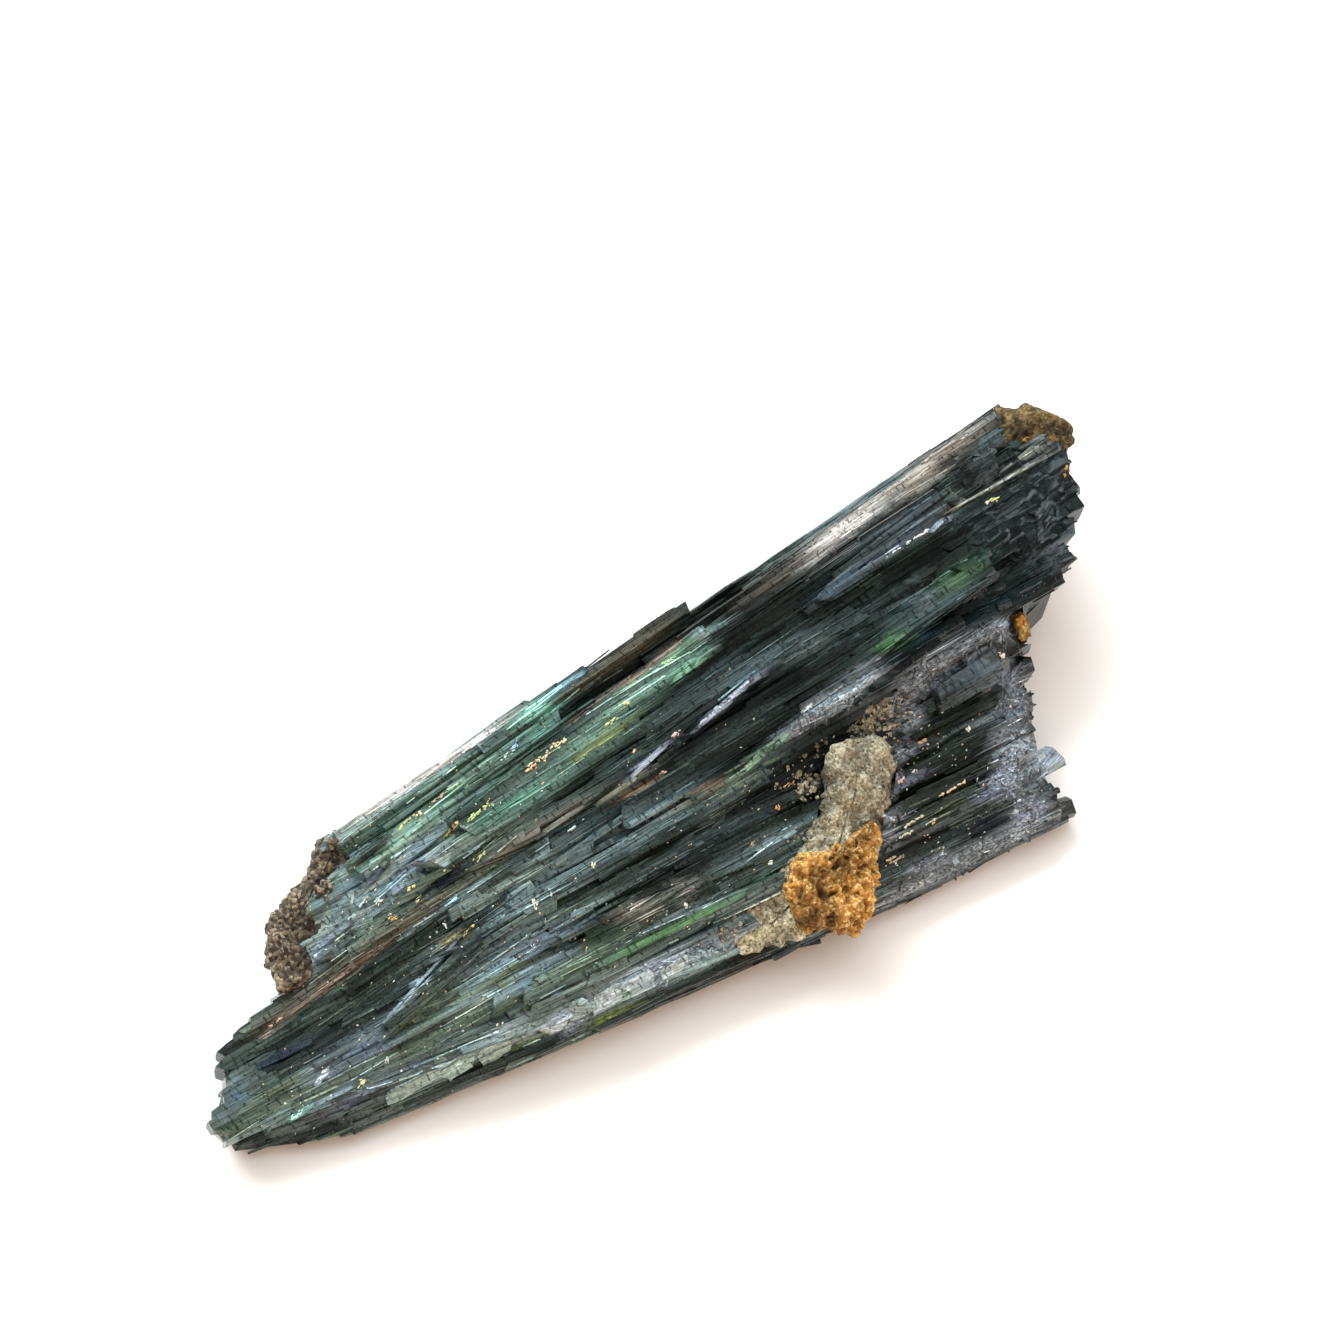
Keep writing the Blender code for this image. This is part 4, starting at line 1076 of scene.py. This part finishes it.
def makeSplinters():
    # short flat laths strewn over the seen side where it is powder, thicker the more it is crushed, turned and tilted
    # off the grain at random
    p, random = splinters, np.random.default_rng(19)
    spot, normal = onSurface(p["tries"], random, p["seenShare"])
    a, b = layoutOf(spot)
    powder = zoneTint(a, b, np.zeros((len(a), 3)), np.ones(len(a)))[1]
    crushed = powder > random.uniform(*p["powder"], len(a))
    keep = np.flatnonzero(crushed & (normal @ sightLine > 0.0))[:p["most"]]
    spot, normal = spot[keep], normal[keep]
    along = turned(flattened(growthAt(spot), normal), normal, random.normal(0, p["turn"], len(spot)))
    normal = turned(normal, along, random.normal(0, p["tilt"], len(spot)))
    size = np.stack([random.uniform(*p["length"], len(spot)), random.uniform(*p["width"], len(spot)),
                     np.full(len(spot), p["thickness"])], axis=1)
    centre = spot + normal * random.uniform(*p["lift"], len(spot))[:, None]
    addLaths("crushedSplinters", centre, along, normal, size, 2, random, tintRule(random, centre, p["spread"]))


makeSplinters()

# ---- cleavage flakes whose bright colours are painted glints

# a, b, length, width, slope in degrees, colour of its painted glint
paintedGlintRows = (
    (-12.9, 5.05, 1.5, 0.16, 17, "#d9dc8e"), (-12.3, 5.15, 0.5, 0.20, 15, "#f2ecb4"),
    (-11.0, 5.55, 0.9, 0.09, 16, "#e7c3a8"), (-10.1, 5.85, 1.2, 0.10, 14, "#d8e6c4"),
    (-9.3, 6.2, 0.6, 0.18, 12, "#bfe27e"), (-8.2, 6.4, 0.7, 0.10, 14, "#b9e0c6"),
    (-6.6, 6.55, 1.0, 0.20, 24, "#dff2f4"), (-6.3, 6.75, 0.5, 0.10, 40, "#8fb4ff"),
    (-5.6, 5.55, 1.5, 0.26, 18, "#f3e3c2"), (-4.4, 6.0, 1.2, 0.18, 14, "#f7e8bd"),
    (-6.0, 5.35, 0.5, 0.14, 20, "#e8b489"), (-9.4, 4.15, 1.6, 0.13, 16, "#c9e79a"),
    (-10.8, 3.9, 0.5, 0.16, 30, "#f0d79a"), (-11.4, 3.6, 0.6, 0.10, 35, "#e4d57c"),
    (-10.5, 1.9, 0.8, 0.13, 24, "#e2efb2"), (-14.2, 1.65, 0.4, 0.16, 10, "#f0ecb0"),
    (-14.1, 1.0, 0.35, 0.13, 20, "#e6e79a"), (-15.8, 0.5, 0.4, 0.18, 0, "#e9c25a"),
    (-16.0, 1.6, 0.4, 0.16, 20, "#e8f4f6"), (-16.8, 1.8, 0.4, 0.10, 25, "#cfe6ea"),
    (-17.6, 1.3, 0.5, 0.09, 20, "#bfd8dd"), (-18.2, 0.9, 0.5, 0.09, 20, "#c6d4da"),
    (-20.2, 0.0, 0.3, 0.10, 20, "#e6edf0"), (-13.5, -0.75, 0.35, 0.08, 75, "#e8eef0"),
    (-12.6, -1.45, 0.8, 0.10, 27, "#e9d98a"), (-14.2, -2.2, 0.8, 0.10, 28, "#dfe6cf"),
    (-22.3, -5.75, 0.8, 0.18, 28, "#f4fbfa"), (-21.2, -5.05, 0.35, 0.16, 10, "#d7e39a"),
    (-20.75, -6.8, 0.4, 0.26, 10, "#f0efb0"), (-24.0, -7.1, 1.2, 0.13, 14, "#bfeadb"),
    (-19.1, -6.2, 0.25, 0.14, 60, "#f2f5f5"), (-26.1, -3.15, 0.35, 0.12, 10, "#e8d2a8"),
    (-23.3, -2.4, 1.0, 0.06, 16, "#d9b48e"), (-28.0, -6.4, 0.2, 0.14, 0, "#e8c27a"),
    (-9.0, -1.4, 0.5, 0.10, 80, "#f3f0d2"), (-8.0, -1.1, 0.3, 0.08, 70, "#e9eee6"),
    (-5.5, -0.55, 0.4, 0.10, 70, "#efe9c8"), (-2.0, 0.5, 0.2, 0.10, 60, "#d7e6e0"),
    (-5.9, 1.95, 0.4, 0.14, 20, "#a9e2c4"), (-5.5, 1.6, 0.5, 0.10, 20, "#c7e8dc"),
    (-0.75, 4.4, 0.6, 0.10, 40, "#f0c2a4"), (1.4, 4.35, 0.5, 0.12, 15, "#f0d8cc"),
    (-0.7, 2.85, 0.6, 0.22, 15, "#f3a276"), (-0.2, 2.7, 0.3, 0.12, 15, "#f7e2d0"),
    (-0.9, 3.2, 0.9, 0.14, 22, "#c9d6ee"), (3.6, 4.7, 1.9, 0.09, 21, "#c6d2e2"),
    (5.2, 5.3, 1.6, 0.10, 22, "#dbe4f0"), (4.4, 8.85, 1.3, 0.10, 6, "#cfe8ec"),
    (3.0, 8.2, 1.2, 0.13, 18, "#c9f0c4"), (-1.4, 6.1, 1.0, 0.08, 18, "#d9e7a0"),
    (-0.3, 6.7, 0.6, 0.10, 25, "#e6dcae"), (4.5, 1.6, 1.0, 0.08, 20, "#b7dfae"),
    (8.0, 3.1, 0.8, 0.09, 22, "#e6eeee"), (5.4, -0.35, 0.6, 0.10, 10, "#f0c98a"),
    (4.3, -1.25, 0.2, 0.16, 60, "#e8b07a"), (2.4, -2.4, 0.5, 0.14, 40, "#f0dcb4"),
    (-4.9, -4.9, 0.4, 0.14, 5, "#fbf3dc"), (-4.3, -4.85, 0.4, 0.10, 5, "#f3dcae"),
    (-3.5, -4.85, 0.35, 0.08, 5, "#f0e0b8"), (-8.1, -3.55, 0.35, 0.14, 50, "#f2cf9a"),
    (-9.5, -5.0, 0.3, 0.14, 0, "#e8dcc8"), (-2.2, -4.3, 0.25, 0.10, 80, "#eef0ea"),
    (2.6, -3.8, 0.2, 0.12, 0, "#eef3f0"), (22.4, 10.2, 0.5, 0.13, 5, "#e6f0a0"),
    (22.0, 10.2, 0.3, 0.08, 20, "#f4f7d8"), (15.9, 9.35, 1.2, 0.06, 14, "#f0f2f4"),
    (17.6, 9.75, 1.4, 0.06, 14, "#e4e9ee"), (18.65, 2.1, 0.4, 0.30, -20, "#fbf7e6"),
    (15.1, -0.85, 0.4, 0.20, -50, "#fcf8e2"), (12.7, -0.75, 0.5, 0.13, 10, "#f0d29a"),
    (13.0, -0.5, 0.3, 0.10, 20, "#e8c078"), (14.5, -0.3, 0.3, 0.09, 20, "#f0c89a"),
    (17.7, -0.7, 0.2, 0.14, 30, "#f4c9d0"), (10.1, -2.2, 0.25, 0.16, 20, "#f6dfe0"),
    (11.6, -2.05, 0.35, 0.12, 20, "#f3e2cc"), (10.7, -2.25, 0.4, 0.10, 15, "#e9d6c8"),
    (12.9, -3.65, 1.6, 0.06, 7, "#d8c8a8"), (10.3, -4.5, 1.2, 0.06, 8, "#cfd0b8"),
    (9.6, -5.0, 0.8, 0.06, 8, "#c9ccb8"), (11.2, -4.9, 0.3, 0.12, 20, "#e8c99a"),
    (8.6, -6.1, 0.8, 0.06, 6, "#b8a888"), (8.2, -5.95, 0.6, 0.07, 6, "#d9c9a8"),
    (14.9, -7.4, 1.4, 0.09, 22, "#c9dce0"), (25.2, 5.1, 0.3, 0.10, 20, "#a88a5c"),
)


flakeBits = {
    "perRow": 4,
    "perMm": 11,
    "aside": 0.32,                      # of the width
    "size": (0.03, 0.11),
    "longest": 2.4,                     # times its size
    "turn": 14.0,
    "thickness": 0.1,
    "raised": 0.12,
    "towardsLight": (0.05, 0.3, 0.8),   # in a, b and h
    "scatter": 0.25,
}
# single painted glints strewn over the crystals, with their sizes and bright colours
paintedGlints = {
    "count": 800,
    "size": (0.022, 0.075),
    # where they are thickest: a, b, radius
    "areas": ((-17, 1.5, 3.5), (-11, 5, 3), (-20, -5.5, 4), (-13, -2, 3), (-3, 5, 5), (12, -1, 3), (-4, -4, 4),
              (17, -3, 4), (13, -6.5, 3), (5, 0, 4)),
    "colours": ("#f6f8f4", "#e9d9a8", "#cfe9d4", "#dfe9f6", "#f0cfa0"),
}


def paintedGlintBits(random):
    # the rows above broken up into small bits, scattered along each and a little across; then many single ones
    # round the middles of the areas
    p, rows, colours = flakeBits, [], []
    for a, b, length, width, slope, colour in paintedGlintRows:
        angle = math.radians(slope)
        for _ in range(p["perRow"] + int(p["perMm"] * length)):
            along, aside = random.uniform(-0.5, 0.5) * length, random.normal(0, p["aside"]) * (width + 0.03)
            size = random.uniform(*p["size"])
            rows.append((a + along * math.cos(angle) - aside * math.sin(angle),
                         b + along * math.sin(angle) + aside * math.cos(angle),
                         size * random.uniform(1, p["longest"]), 0.8 * size, slope + random.normal(0, p["turn"])))
            colours.append(colour)
    for _ in range(paintedGlints["count"]):
        area = paintedGlints["areas"][random.integers(len(paintedGlints["areas"]))]
        size = random.uniform(*paintedGlints["size"])
        rows.append((area[0] + random.normal(0, area[2]), area[1] + random.normal(0, 0.35 * area[2]),
                     size * random.uniform(1, 1.6), 0.8 * size, random.normal(15, 20)))
        colours.append(paintedGlints["colours"][random.integers(len(paintedGlints["colours"]))])
    return rows, colours


def makePaintedGlintFlakes():
    # each flake lies where its line of sight meets the crystals, turned half way towards the light at the back. Its
    # bright tint is a painted glint.
    p, random = flakeBits, np.random.default_rng(3)
    rows, colours = paintedGlintBits(random)
    rows = np.array(rows)
    spots, normals = sightHits(rows[:, 0], rows[:, 1])
    hit = ~np.isnan(spots[:, 0])
    rows, spots = rows[hit], spots[hit] + sightLine * p["raised"]
    tints = np.array([linear(colour) for colour, ok in zip(colours, hit) if ok])
    slope = np.radians(rows[:, 4])
    normal = unit(normals[hit] * 0.5 + p["towardsLight"] + random.normal(0, p["scatter"], (len(rows), 3)))
    along = flattened(np.stack([np.cos(slope), np.sin(slope), np.zeros(len(rows))], axis=1), normal)
    size = np.stack([rows[:, 2], rows[:, 3], np.full(len(rows), p["thickness"])], axis=1)
    points = lathPoints(spots, along, normal, size, 2, random)
    mesh = makeMesh("paintedGlintFlakes", toWorld(points), tubeFaces(len(rows), 2, 6),
                    {"tint": np.repeat(tints, 12, axis=0)})
    addPiece("paintedGlintFlakes", mesh, paintedGlintMaterial, ["vivianite_crystals"])


makePaintedGlintFlakes()

# ---- the matrix that clings to the crystals

# For each lump: its outline and the line along its middle in a and b, the height of its top and how that rises with b,
# its thickness, how much larger than the outline it is, how much its middle stands up (of the thickness), its shift,
# the steps of the grid, its bumps (size, height), its pits (spacing, depth), and its dark or light patches (a, b,
# radius, brightness), some of which are painted shade
sandChip = {
    "outline": (
        (10.7, -0.5), (10.4, 0.3), (9.5, 0.7), (8.3, 0.5), (7.3, -0.5), (6.9, -1.3), (6.2, -2.5), (4.9, -3.5),
        (3.4, -4.1), (1.5, -5.2), (0.1, -6.0), (-1.0, -6.9), (-0.6, -7.6), (1.5, -8.0), (4.0, -7.6), (6.0, -6.6),
        (7.8, -5.0), (8.6, -3.9), (9.7, -2.7), (10.4, -1.5),
    ),
    "spine": ((9.0, -0.5), (8.0, -2.2), (5.4, -5.0), (0.8, -7.0)),
    "top": 0.55, "fall": 0.26, "thickness": 2.8, "grown": 0.16, "dome": 0.04, "shift": (0, 0),
    "spacing": 0.08, "rings": 80, "bumps": ((1.6, 0.24), (0.55, 0.28), (0.22, 0.12)), "pits": (0.0, 0.0), "seed": 3,
    # the first patch paints the top darker, as painted shade against the light that falls on it
    "shades": ((8.4, -0.4, 2.2, 0.78), (9.9, -2.2, 0.8, 0.6), (0.6, -7.2, 2.0, 1.2)),
}
limoniteCrust = {
    "outline": (
        (8.3, -3.6), (6.7, -4.0), (5.0, -4.3), (3.6, -4.5), (2.8, -5.7), (2.7, -6.5), (2.1, -7.5), (3.7, -8.3),
        (4.8, -9.1), (5.8, -8.3), (6.6, -7.3), (7.3, -6.0), (8.0, -4.6),
    ),
    "spine": ((6.6, -5.0), (4.9, -6.8)),
    "top": 2.2, "fall": 0.3, "thickness": 2.6, "grown": 0.0, "dome": 0.10, "shift": (0, 0),
    "spacing": 0.055, "rings": 130, "bumps": ((1.5, 0.45), (0.6, 0.3), (0.25, 0.16)), "pits": (0.72, 0.5), "seed": 5,
    # the first patch darkens the lower-left: a painted shadow
    "shades": ((3.4, -7.2, 1.3, 0.42), (6.4, -4.8, 1.6, 1.3)),
}
limoniteCap = {
    "outline": (
        (24.2, 13.1), (25.1, 14.9), (26.6, 14.5), (27.5, 13.8), (27.9, 12.9), (27.9, 11.9), (27.2, 12.0),
        (26.5, 12.8), (25.3, 13.0),
    ),
    "spine": ((25.4, 13.8), (27.0, 13.2), (27.6, 12.5)),
    "top": -0.55, "fall": 0.0, "thickness": 1.9, "grown": 0.2, "dome": 0.03, "shift": (-0.15, -0.08),
    "spacing": 0.1, "rings": 44, "bumps": ((1.2, 0.22), (0.5, 0.16), (0.22, 0.08)), "pits": (0.5, 0.12), "seed": 11,
    "shades": ((25.4, 13.3, 0.7, 0.3), (26.8, 12.9, 0.7, 0.35), (27.6, 12.3, 0.8, 0.5)),
}
ochreGrain = {
    "outline": ((20.9, 3.3), (20.8, 3.9), (20.2, 3.9), (19.8, 3.2), (20.0, 2.4), (20.6, 2.3)),
    "spine": ((20.4, 3.4), (20.4, 2.9)),
    "top": -1.4, "fall": 0.0, "thickness": 1.2, "grown": -0.15, "dome": 0.1, "shift": (0, 0),
    "spacing": 0.1, "rings": 30, "bumps": ((0.8, 0.16), (0.35, 0.12)), "pits": (0.45, 0.16), "seed": 13,
    "shades": ((20.8, 2.6, 0.8, 0.5),),
}
clayRim = {
    "outline": (
        (-21.6, -0.9), (-20.8, 0.2), (-19.9, 1.2), (-18.7, 2.3), (-17.6, 3.5), (-16.7, 4.5), (-16.5, 5.4),
        (-17.8, 5.4), (-18.9, 4.1), (-20.3, 3.0), (-21.8, 2.4), (-22.6, 0.4), (-22.5, -0.9),
    ),
    "spine": ((-22.1, -0.5), (-21.8, 0.9), (-21.2, 2.0), (-19.8, 2.9), (-18.4, 4.0), (-17.3, 5.1)),
    "top": -2.0, "fall": -0.1, "thickness": 2.3, "grown": 0.34, "dome": 0.1, "shift": (0.36, -0.1),
    "spacing": 0.08, "rings": 50, "bumps": ((0.9, 0.24), (0.4, 0.22), (0.18, 0.12)), "pits": (0.0, 0.0), "seed": 17,
    "shades": ((-20.6, 0.3, 0.9, 0.25), (-19.6, 1.5, 0.9, 0.25), (-18.3, 2.7, 0.9, 0.25), (-17.0, 4.2, 0.8, 0.35)),
}


def dividedOutline(outline, spacing):
    # each straight side in equal steps of about spacing
    sides = [np.linspace(start, end, max(1, round(math.dist(start, end) / spacing)), endpoint=False)
             for start, end in zip(outline, outline[1:] + outline[:1])]
    return np.concatenate(sides)


def nearestOn(points, line):
    # the nearest point on a line of straight pieces
    line = np.array(line)
    best, found = np.full(len(points), np.inf), np.zeros_like(points)
    for start, end in zip(line[:-1], line[1:]):
        run = end - start
        spot = start + np.clip((points - start) @ run / (run @ run), 0, 1)[:, None] * run
        far = np.hypot(*(points - spot).T)
        found[far < best], best = spot[far < best], np.minimum(best, far)
    return found


def gridNormals(grid):
    # outward normals of a closed tube given as rings by sides: the cross product of its two directions
    around = np.roll(grid, -1, axis=1) - np.roll(grid, 1, axis=1)
    down = np.gradient(grid, axis=0)
    return unit(np.cross(down, around).reshape(-1, 3))


# from the middle of the top to the middle of the underside: how far out each ring is, and how deep
lumpSection = {
    "place": (0, 0.35, 0.6, 0.7, 0.88, 1),
    "out": (0.03, 0.5375, 0.9, 1.0, 0.97, 0.5),
    "depth": (0.0, 0.0, 0.07, 0.3, 0.75, 1.0),
    "dome": (-1.0, -0.6, 0.0, 0.0, 0.0, 0.0),
}
hollowShade = {"bumps": 0.35, "pits": 0.82}    # how much darker low places and pits are


def lumpMesh(name, lump):
    # rings of the outline drawn in to the line along its middle, over a section from the top's middle to the
    # bottom's; bumps of several sizes and round pits push the surface in and out along its normals
    outline = dividedOutline(lump["outline"], lump["spacing"])
    middle = nearestOn(outline, lump["spine"])
    away = outline - middle
    away *= 1 + lump["grown"] / np.maximum(np.hypot(*away.T), 0.3)[:, None]
    place = np.linspace(0, 1, lump["rings"])
    share = np.interp(place, lumpSection["place"], lumpSection["out"])
    deep = np.array(lumpSection["depth"]) + lump["dome"] * np.array(lumpSection["dome"])
    depth = np.interp(place, lumpSection["place"], deep)
    flat = middle[None] + share[:, None, None] * away[None] + lump["shift"]
    h = lump["top"] + lump["fall"] * flat[..., 1] - depth[:, None] * lump["thickness"]
    grid = np.stack([flat[..., 0] + face["lean"][0] * h, flat[..., 1] + face["lean"][1] * h, h], axis=-1)
    points, outward = grid.reshape(-1, 3), gridNormals(grid)
    if np.sum(outward[:len(outline), 2]) < 0:
        outward = -outward
    push = np.zeros(len(points))
    for k, (scale, size) in enumerate(lump["bumps"]):
        push += size * valueNoise(points / scale + 60, lump["seed"] + k)
    # darker in low places and pits, lighter on high places: painted shade and light
    paintedShadingAndPatches = 1 + hollowShade["bumps"] * np.clip(push / 0.3, -1, 1)
    scale, deep = lump["pits"]
    if scale:
        bent = np.stack([valueNoise(points / (0.8 * scale) + 70, lump["seed"] + 7 + k) for k in range(3)], axis=1)
        pit = np.clip(1.15 - cellNoise(points / scale + 30 + 0.55 * bent, lump["seed"]) / 0.5, 0, 1)
        push = push - deep * pit
        paintedShadingAndPatches = paintedShadingAndPatches * (1 - hollowShade["pits"] * pit)
    a, b = layoutOf(points)
    for middleA, middleB, radius, factor in lump["shades"]:
        paintedShadingAndPatches *= 1 + (factor - 1) * np.exp(-((a - middleA) ** 2 + (b - middleB) ** 2) / radius ** 2)
    points = points + outward * push[:, None]
    faces = tubeFaces(1, lump["rings"], len(outline))
    return makeMesh(name, toWorld(points), faces, {"paintedShadingAndPatches": paintedShadingAndPatches}, smooth=True)


for name, lump, material, slot, node in (
    ("sandChip", sandChip, sandMaterial, "sandy_matrix", "sandy_matrix"),
    ("limoniteCrust", limoniteCrust, limoniteMaterial, "limonite", "limonite_crust"),
    ("limoniteCap", limoniteCap, capMaterial, "limonite", "limonite_cap"),
    ("ochreGrain", ochreGrain, limoniteMaterial, "limonite", "ochre_grain"),
    ("clayRim", clayRim, clayMaterial, "clay", "clay_rim"),
):
    addPiece(name, lumpMesh(name, lump), material, [node])

# crumbs of the matrix on the crystals round it. Each row: a, b, radius of the patch, how many
crumbs = {
    "sandCrumbs": {
        "rows": ((11.4, 1.4, 1.5, 150), (6.5, -0.7, 1.2, 90), (10.2, 0.9, 0.8, 60), (8.0, 0.5, 1.0, 30),
                 (-0.8, -6.6, 1.0, 25), (5.0, -3.2, 1.0, 25)),
        "size": (0.07, 0.24), "material": sandMaterial, "slot": "sandy_matrix", "node": "sandy_matrix",
    },
    "clayCrumbs": {
        "rows": ((-21.6, 0.2, 0.9, 70), (-20.6, 2.0, 0.9, 70), (-18.8, 3.4, 0.8, 60), (-17.5, 4.9, 0.7, 50)),
        "size": (0.08, 0.4), "material": clayMaterial, "slot": "clay", "node": "clay_rim",
    },
    "limoniteCrumbs": {
        "rows": ((27.3, 12.3, 0.6, 25), (26.9, 10.3, 0.4, 10), (25.8, 13.4, 0.9, 25), (20.5, 3.6, 0.5, 14),
                 (2.4, -6.0, 0.6, 14), (8.0, -3.6, 0.6, 10)),
        "size": (0.07, 0.26), "material": limoniteMaterial, "slot": "limonite", "node": "limonite_crust",
    },
}


def makeCrumbs(name, p):
    # short blocks turned at random, strewn round the middle of each patch and laid where the lines of sight meet the
    # crystals
    random = np.random.default_rng(47)
    spread = np.repeat(np.array([row[:3] for row in p["rows"]]), [row[3] for row in p["rows"]], axis=0)
    a = spread[:, 0] + random.normal(0, 0.5, len(spread)) * spread[:, 2]
    b = spread[:, 1] + random.normal(0, 0.4, len(spread)) * spread[:, 2]
    spots, normals = sightHits(a, b)
    hit = ~np.isnan(spots[:, 0])
    spots = spots[hit] + normals[hit] * 0.03
    size = random.uniform(*p["size"], len(spots))
    along, up = unit(random.normal(0, 1, (len(spots), 3))), unit(random.normal(0, 1, (len(spots), 3)))
    up = flattened(up, along)
    block = size[:, None] * random.uniform(0.7, 1.2, (len(spots), 3))
    points = lathPoints(spots + up * size[:, None] / 2, along, up, block, 3, random)
    mesh = makeMesh(name, toWorld(points), tubeFaces(len(spots), 3, 6), {"paintedShadingAndPatches": np.ones(len(points))})
    addPiece(name, mesh, p["material"], [p["node"]])


for name, p in crumbs.items():
    makeCrumbs(name, p)

# ---- floor, light and camera

studio = {
    "floor": "#f6f5f3",
    "room": "#e9f5f3",
    "roomStrength": 0.2,
    # name, place and size in metres, watts, colour, what it works on
    "softboxes": (
        ("backWindow", (-0.05, 0.42, 0.52), (0.75, 0.4), 5.4, "#f8fbff", "dull"),
        ("ceiling", (0.1, 0.0, 0.8), (1.4, 1.4), 9.0, "#f6fbff", "dull"),
        ("warmWall", (-0.15, -0.5, 0.30), (0.5, 0.4), 2.4, "#ffd3b0", "dull"),
        ("backCard", (0.05, 0.55, 0.14), (1.2, 0.24), 1.3, "#f0faf4", "glossy"),
        ("leftCard", (-0.5, 0.25, 0.30), (0.4, 0.3), 0.7, "#cfe2f2", "glossy"),
        ("highStrip", (0.0, 0.25, 0.7), (1.2, 0.07), 0.6, "#dcefe8", "glossy"),
        ("middleStrip", (0.0, 0.5, 0.5), (1.2, 0.06), 0.8, "#e6f4ee", "glossy"),
        ("overheadStrip", (0.0, -0.06, 0.75), (1.2, 0.05), 0.4, "#d8ece4", "glossy"),
    ),
    # the camera, in degrees and mm; shift is to the right and up of the face's origin
    "azimuth": -36.0,
    "elevation": 48.0,
    "distance": 260.0,
    "lens": 145.0,
    "shift": (-1.418, 7.629),
}


def makeFloor():
    # a square 4 m wide at the height that the shard lies on
    mesh = bpy.data.meshes.new("floor")
    mesh.from_pydata([(-2, -2, 0), (2, -2, 0), (2, 2, 0), (-2, 2, 0)], [], [(0, 1, 2, 3)])
    material, shader, link = newMaterial("paleCard", {"Roughness": 0.9, "Specular IOR Level": 0.1})
    shader.inputs["Base Color"].default_value = (*linear(studio["floor"]), 1)
    mesh.materials.append(material)
    floor = bpy.data.objects.new("floor", mesh)
    bpy.context.scene.collection.objects.link(floor)


def addSoftbox(name, place, size, power, colour, seenBy):
    # seenBy is what the box works on: "dull" surfaces only, or "glossy" reflections only
    light = bpy.data.lights.new(name, "AREA")
    light.shape = "RECTANGLE"
    light.size, light.size_y = size
    light.energy = power
    light.color = linear(colour)
    box = bpy.data.objects.new(name, light)
    box.matrix_world = Matrix.Translation(place) @ Vector(place).to_track_quat("Z", "Y").to_matrix().to_4x4()
    box.visible_glossy = seenBy == "glossy"
    box.visible_diffuse = seenBy == "dull"
    bpy.context.scene.collection.objects.link(box)


def makeLight():
    # an even pale room and the softboxes
    world = bpy.data.worlds.new("roomLight")
    world.use_nodes = True
    sky = world.node_tree.nodes["Background"].inputs
    sky["Color"].default_value = (*linear(studio["room"]), 1)
    sky["Strength"].default_value = studio["roomStrength"]
    bpy.context.scene.world = world
    for box in studio["softboxes"]:
        addSoftbox(*box)


def makeCamera():
    # at the photograph's angle, on the line of sight through the broad side's origin, moved sideways and up a little
    turn, rise = math.radians(studio["azimuth"]), math.radians(studio["elevation"])
    back = Vector((math.sin(turn) * math.cos(rise), -math.cos(turn) * math.cos(rise), math.sin(rise)))
    right = Vector((math.cos(turn), math.sin(turn), 0))
    up = back.cross(right)
    place = Vector(face["origin"]) + studio["distance"] * back
    place += studio["shift"][0] * right + studio["shift"][1] * up
    lens = bpy.data.cameras.new("camera")
    lens.lens = studio["lens"]
    lens.sensor_width = 36.0
    lens.clip_start, lens.clip_end = 0.01, 10.0
    camera = bpy.data.objects.new("camera", lens)
    camera.matrix_world = Matrix.Translation(place * mm) @ Matrix((right, up, back)).transposed().to_4x4()
    bpy.context.scene.collection.objects.link(camera)
    bpy.context.scene.camera = camera


makeFloor()
makeLight()
makeCamera()
bpy.context.scene.view_settings.view_transform = "Standard"
print("stage set")
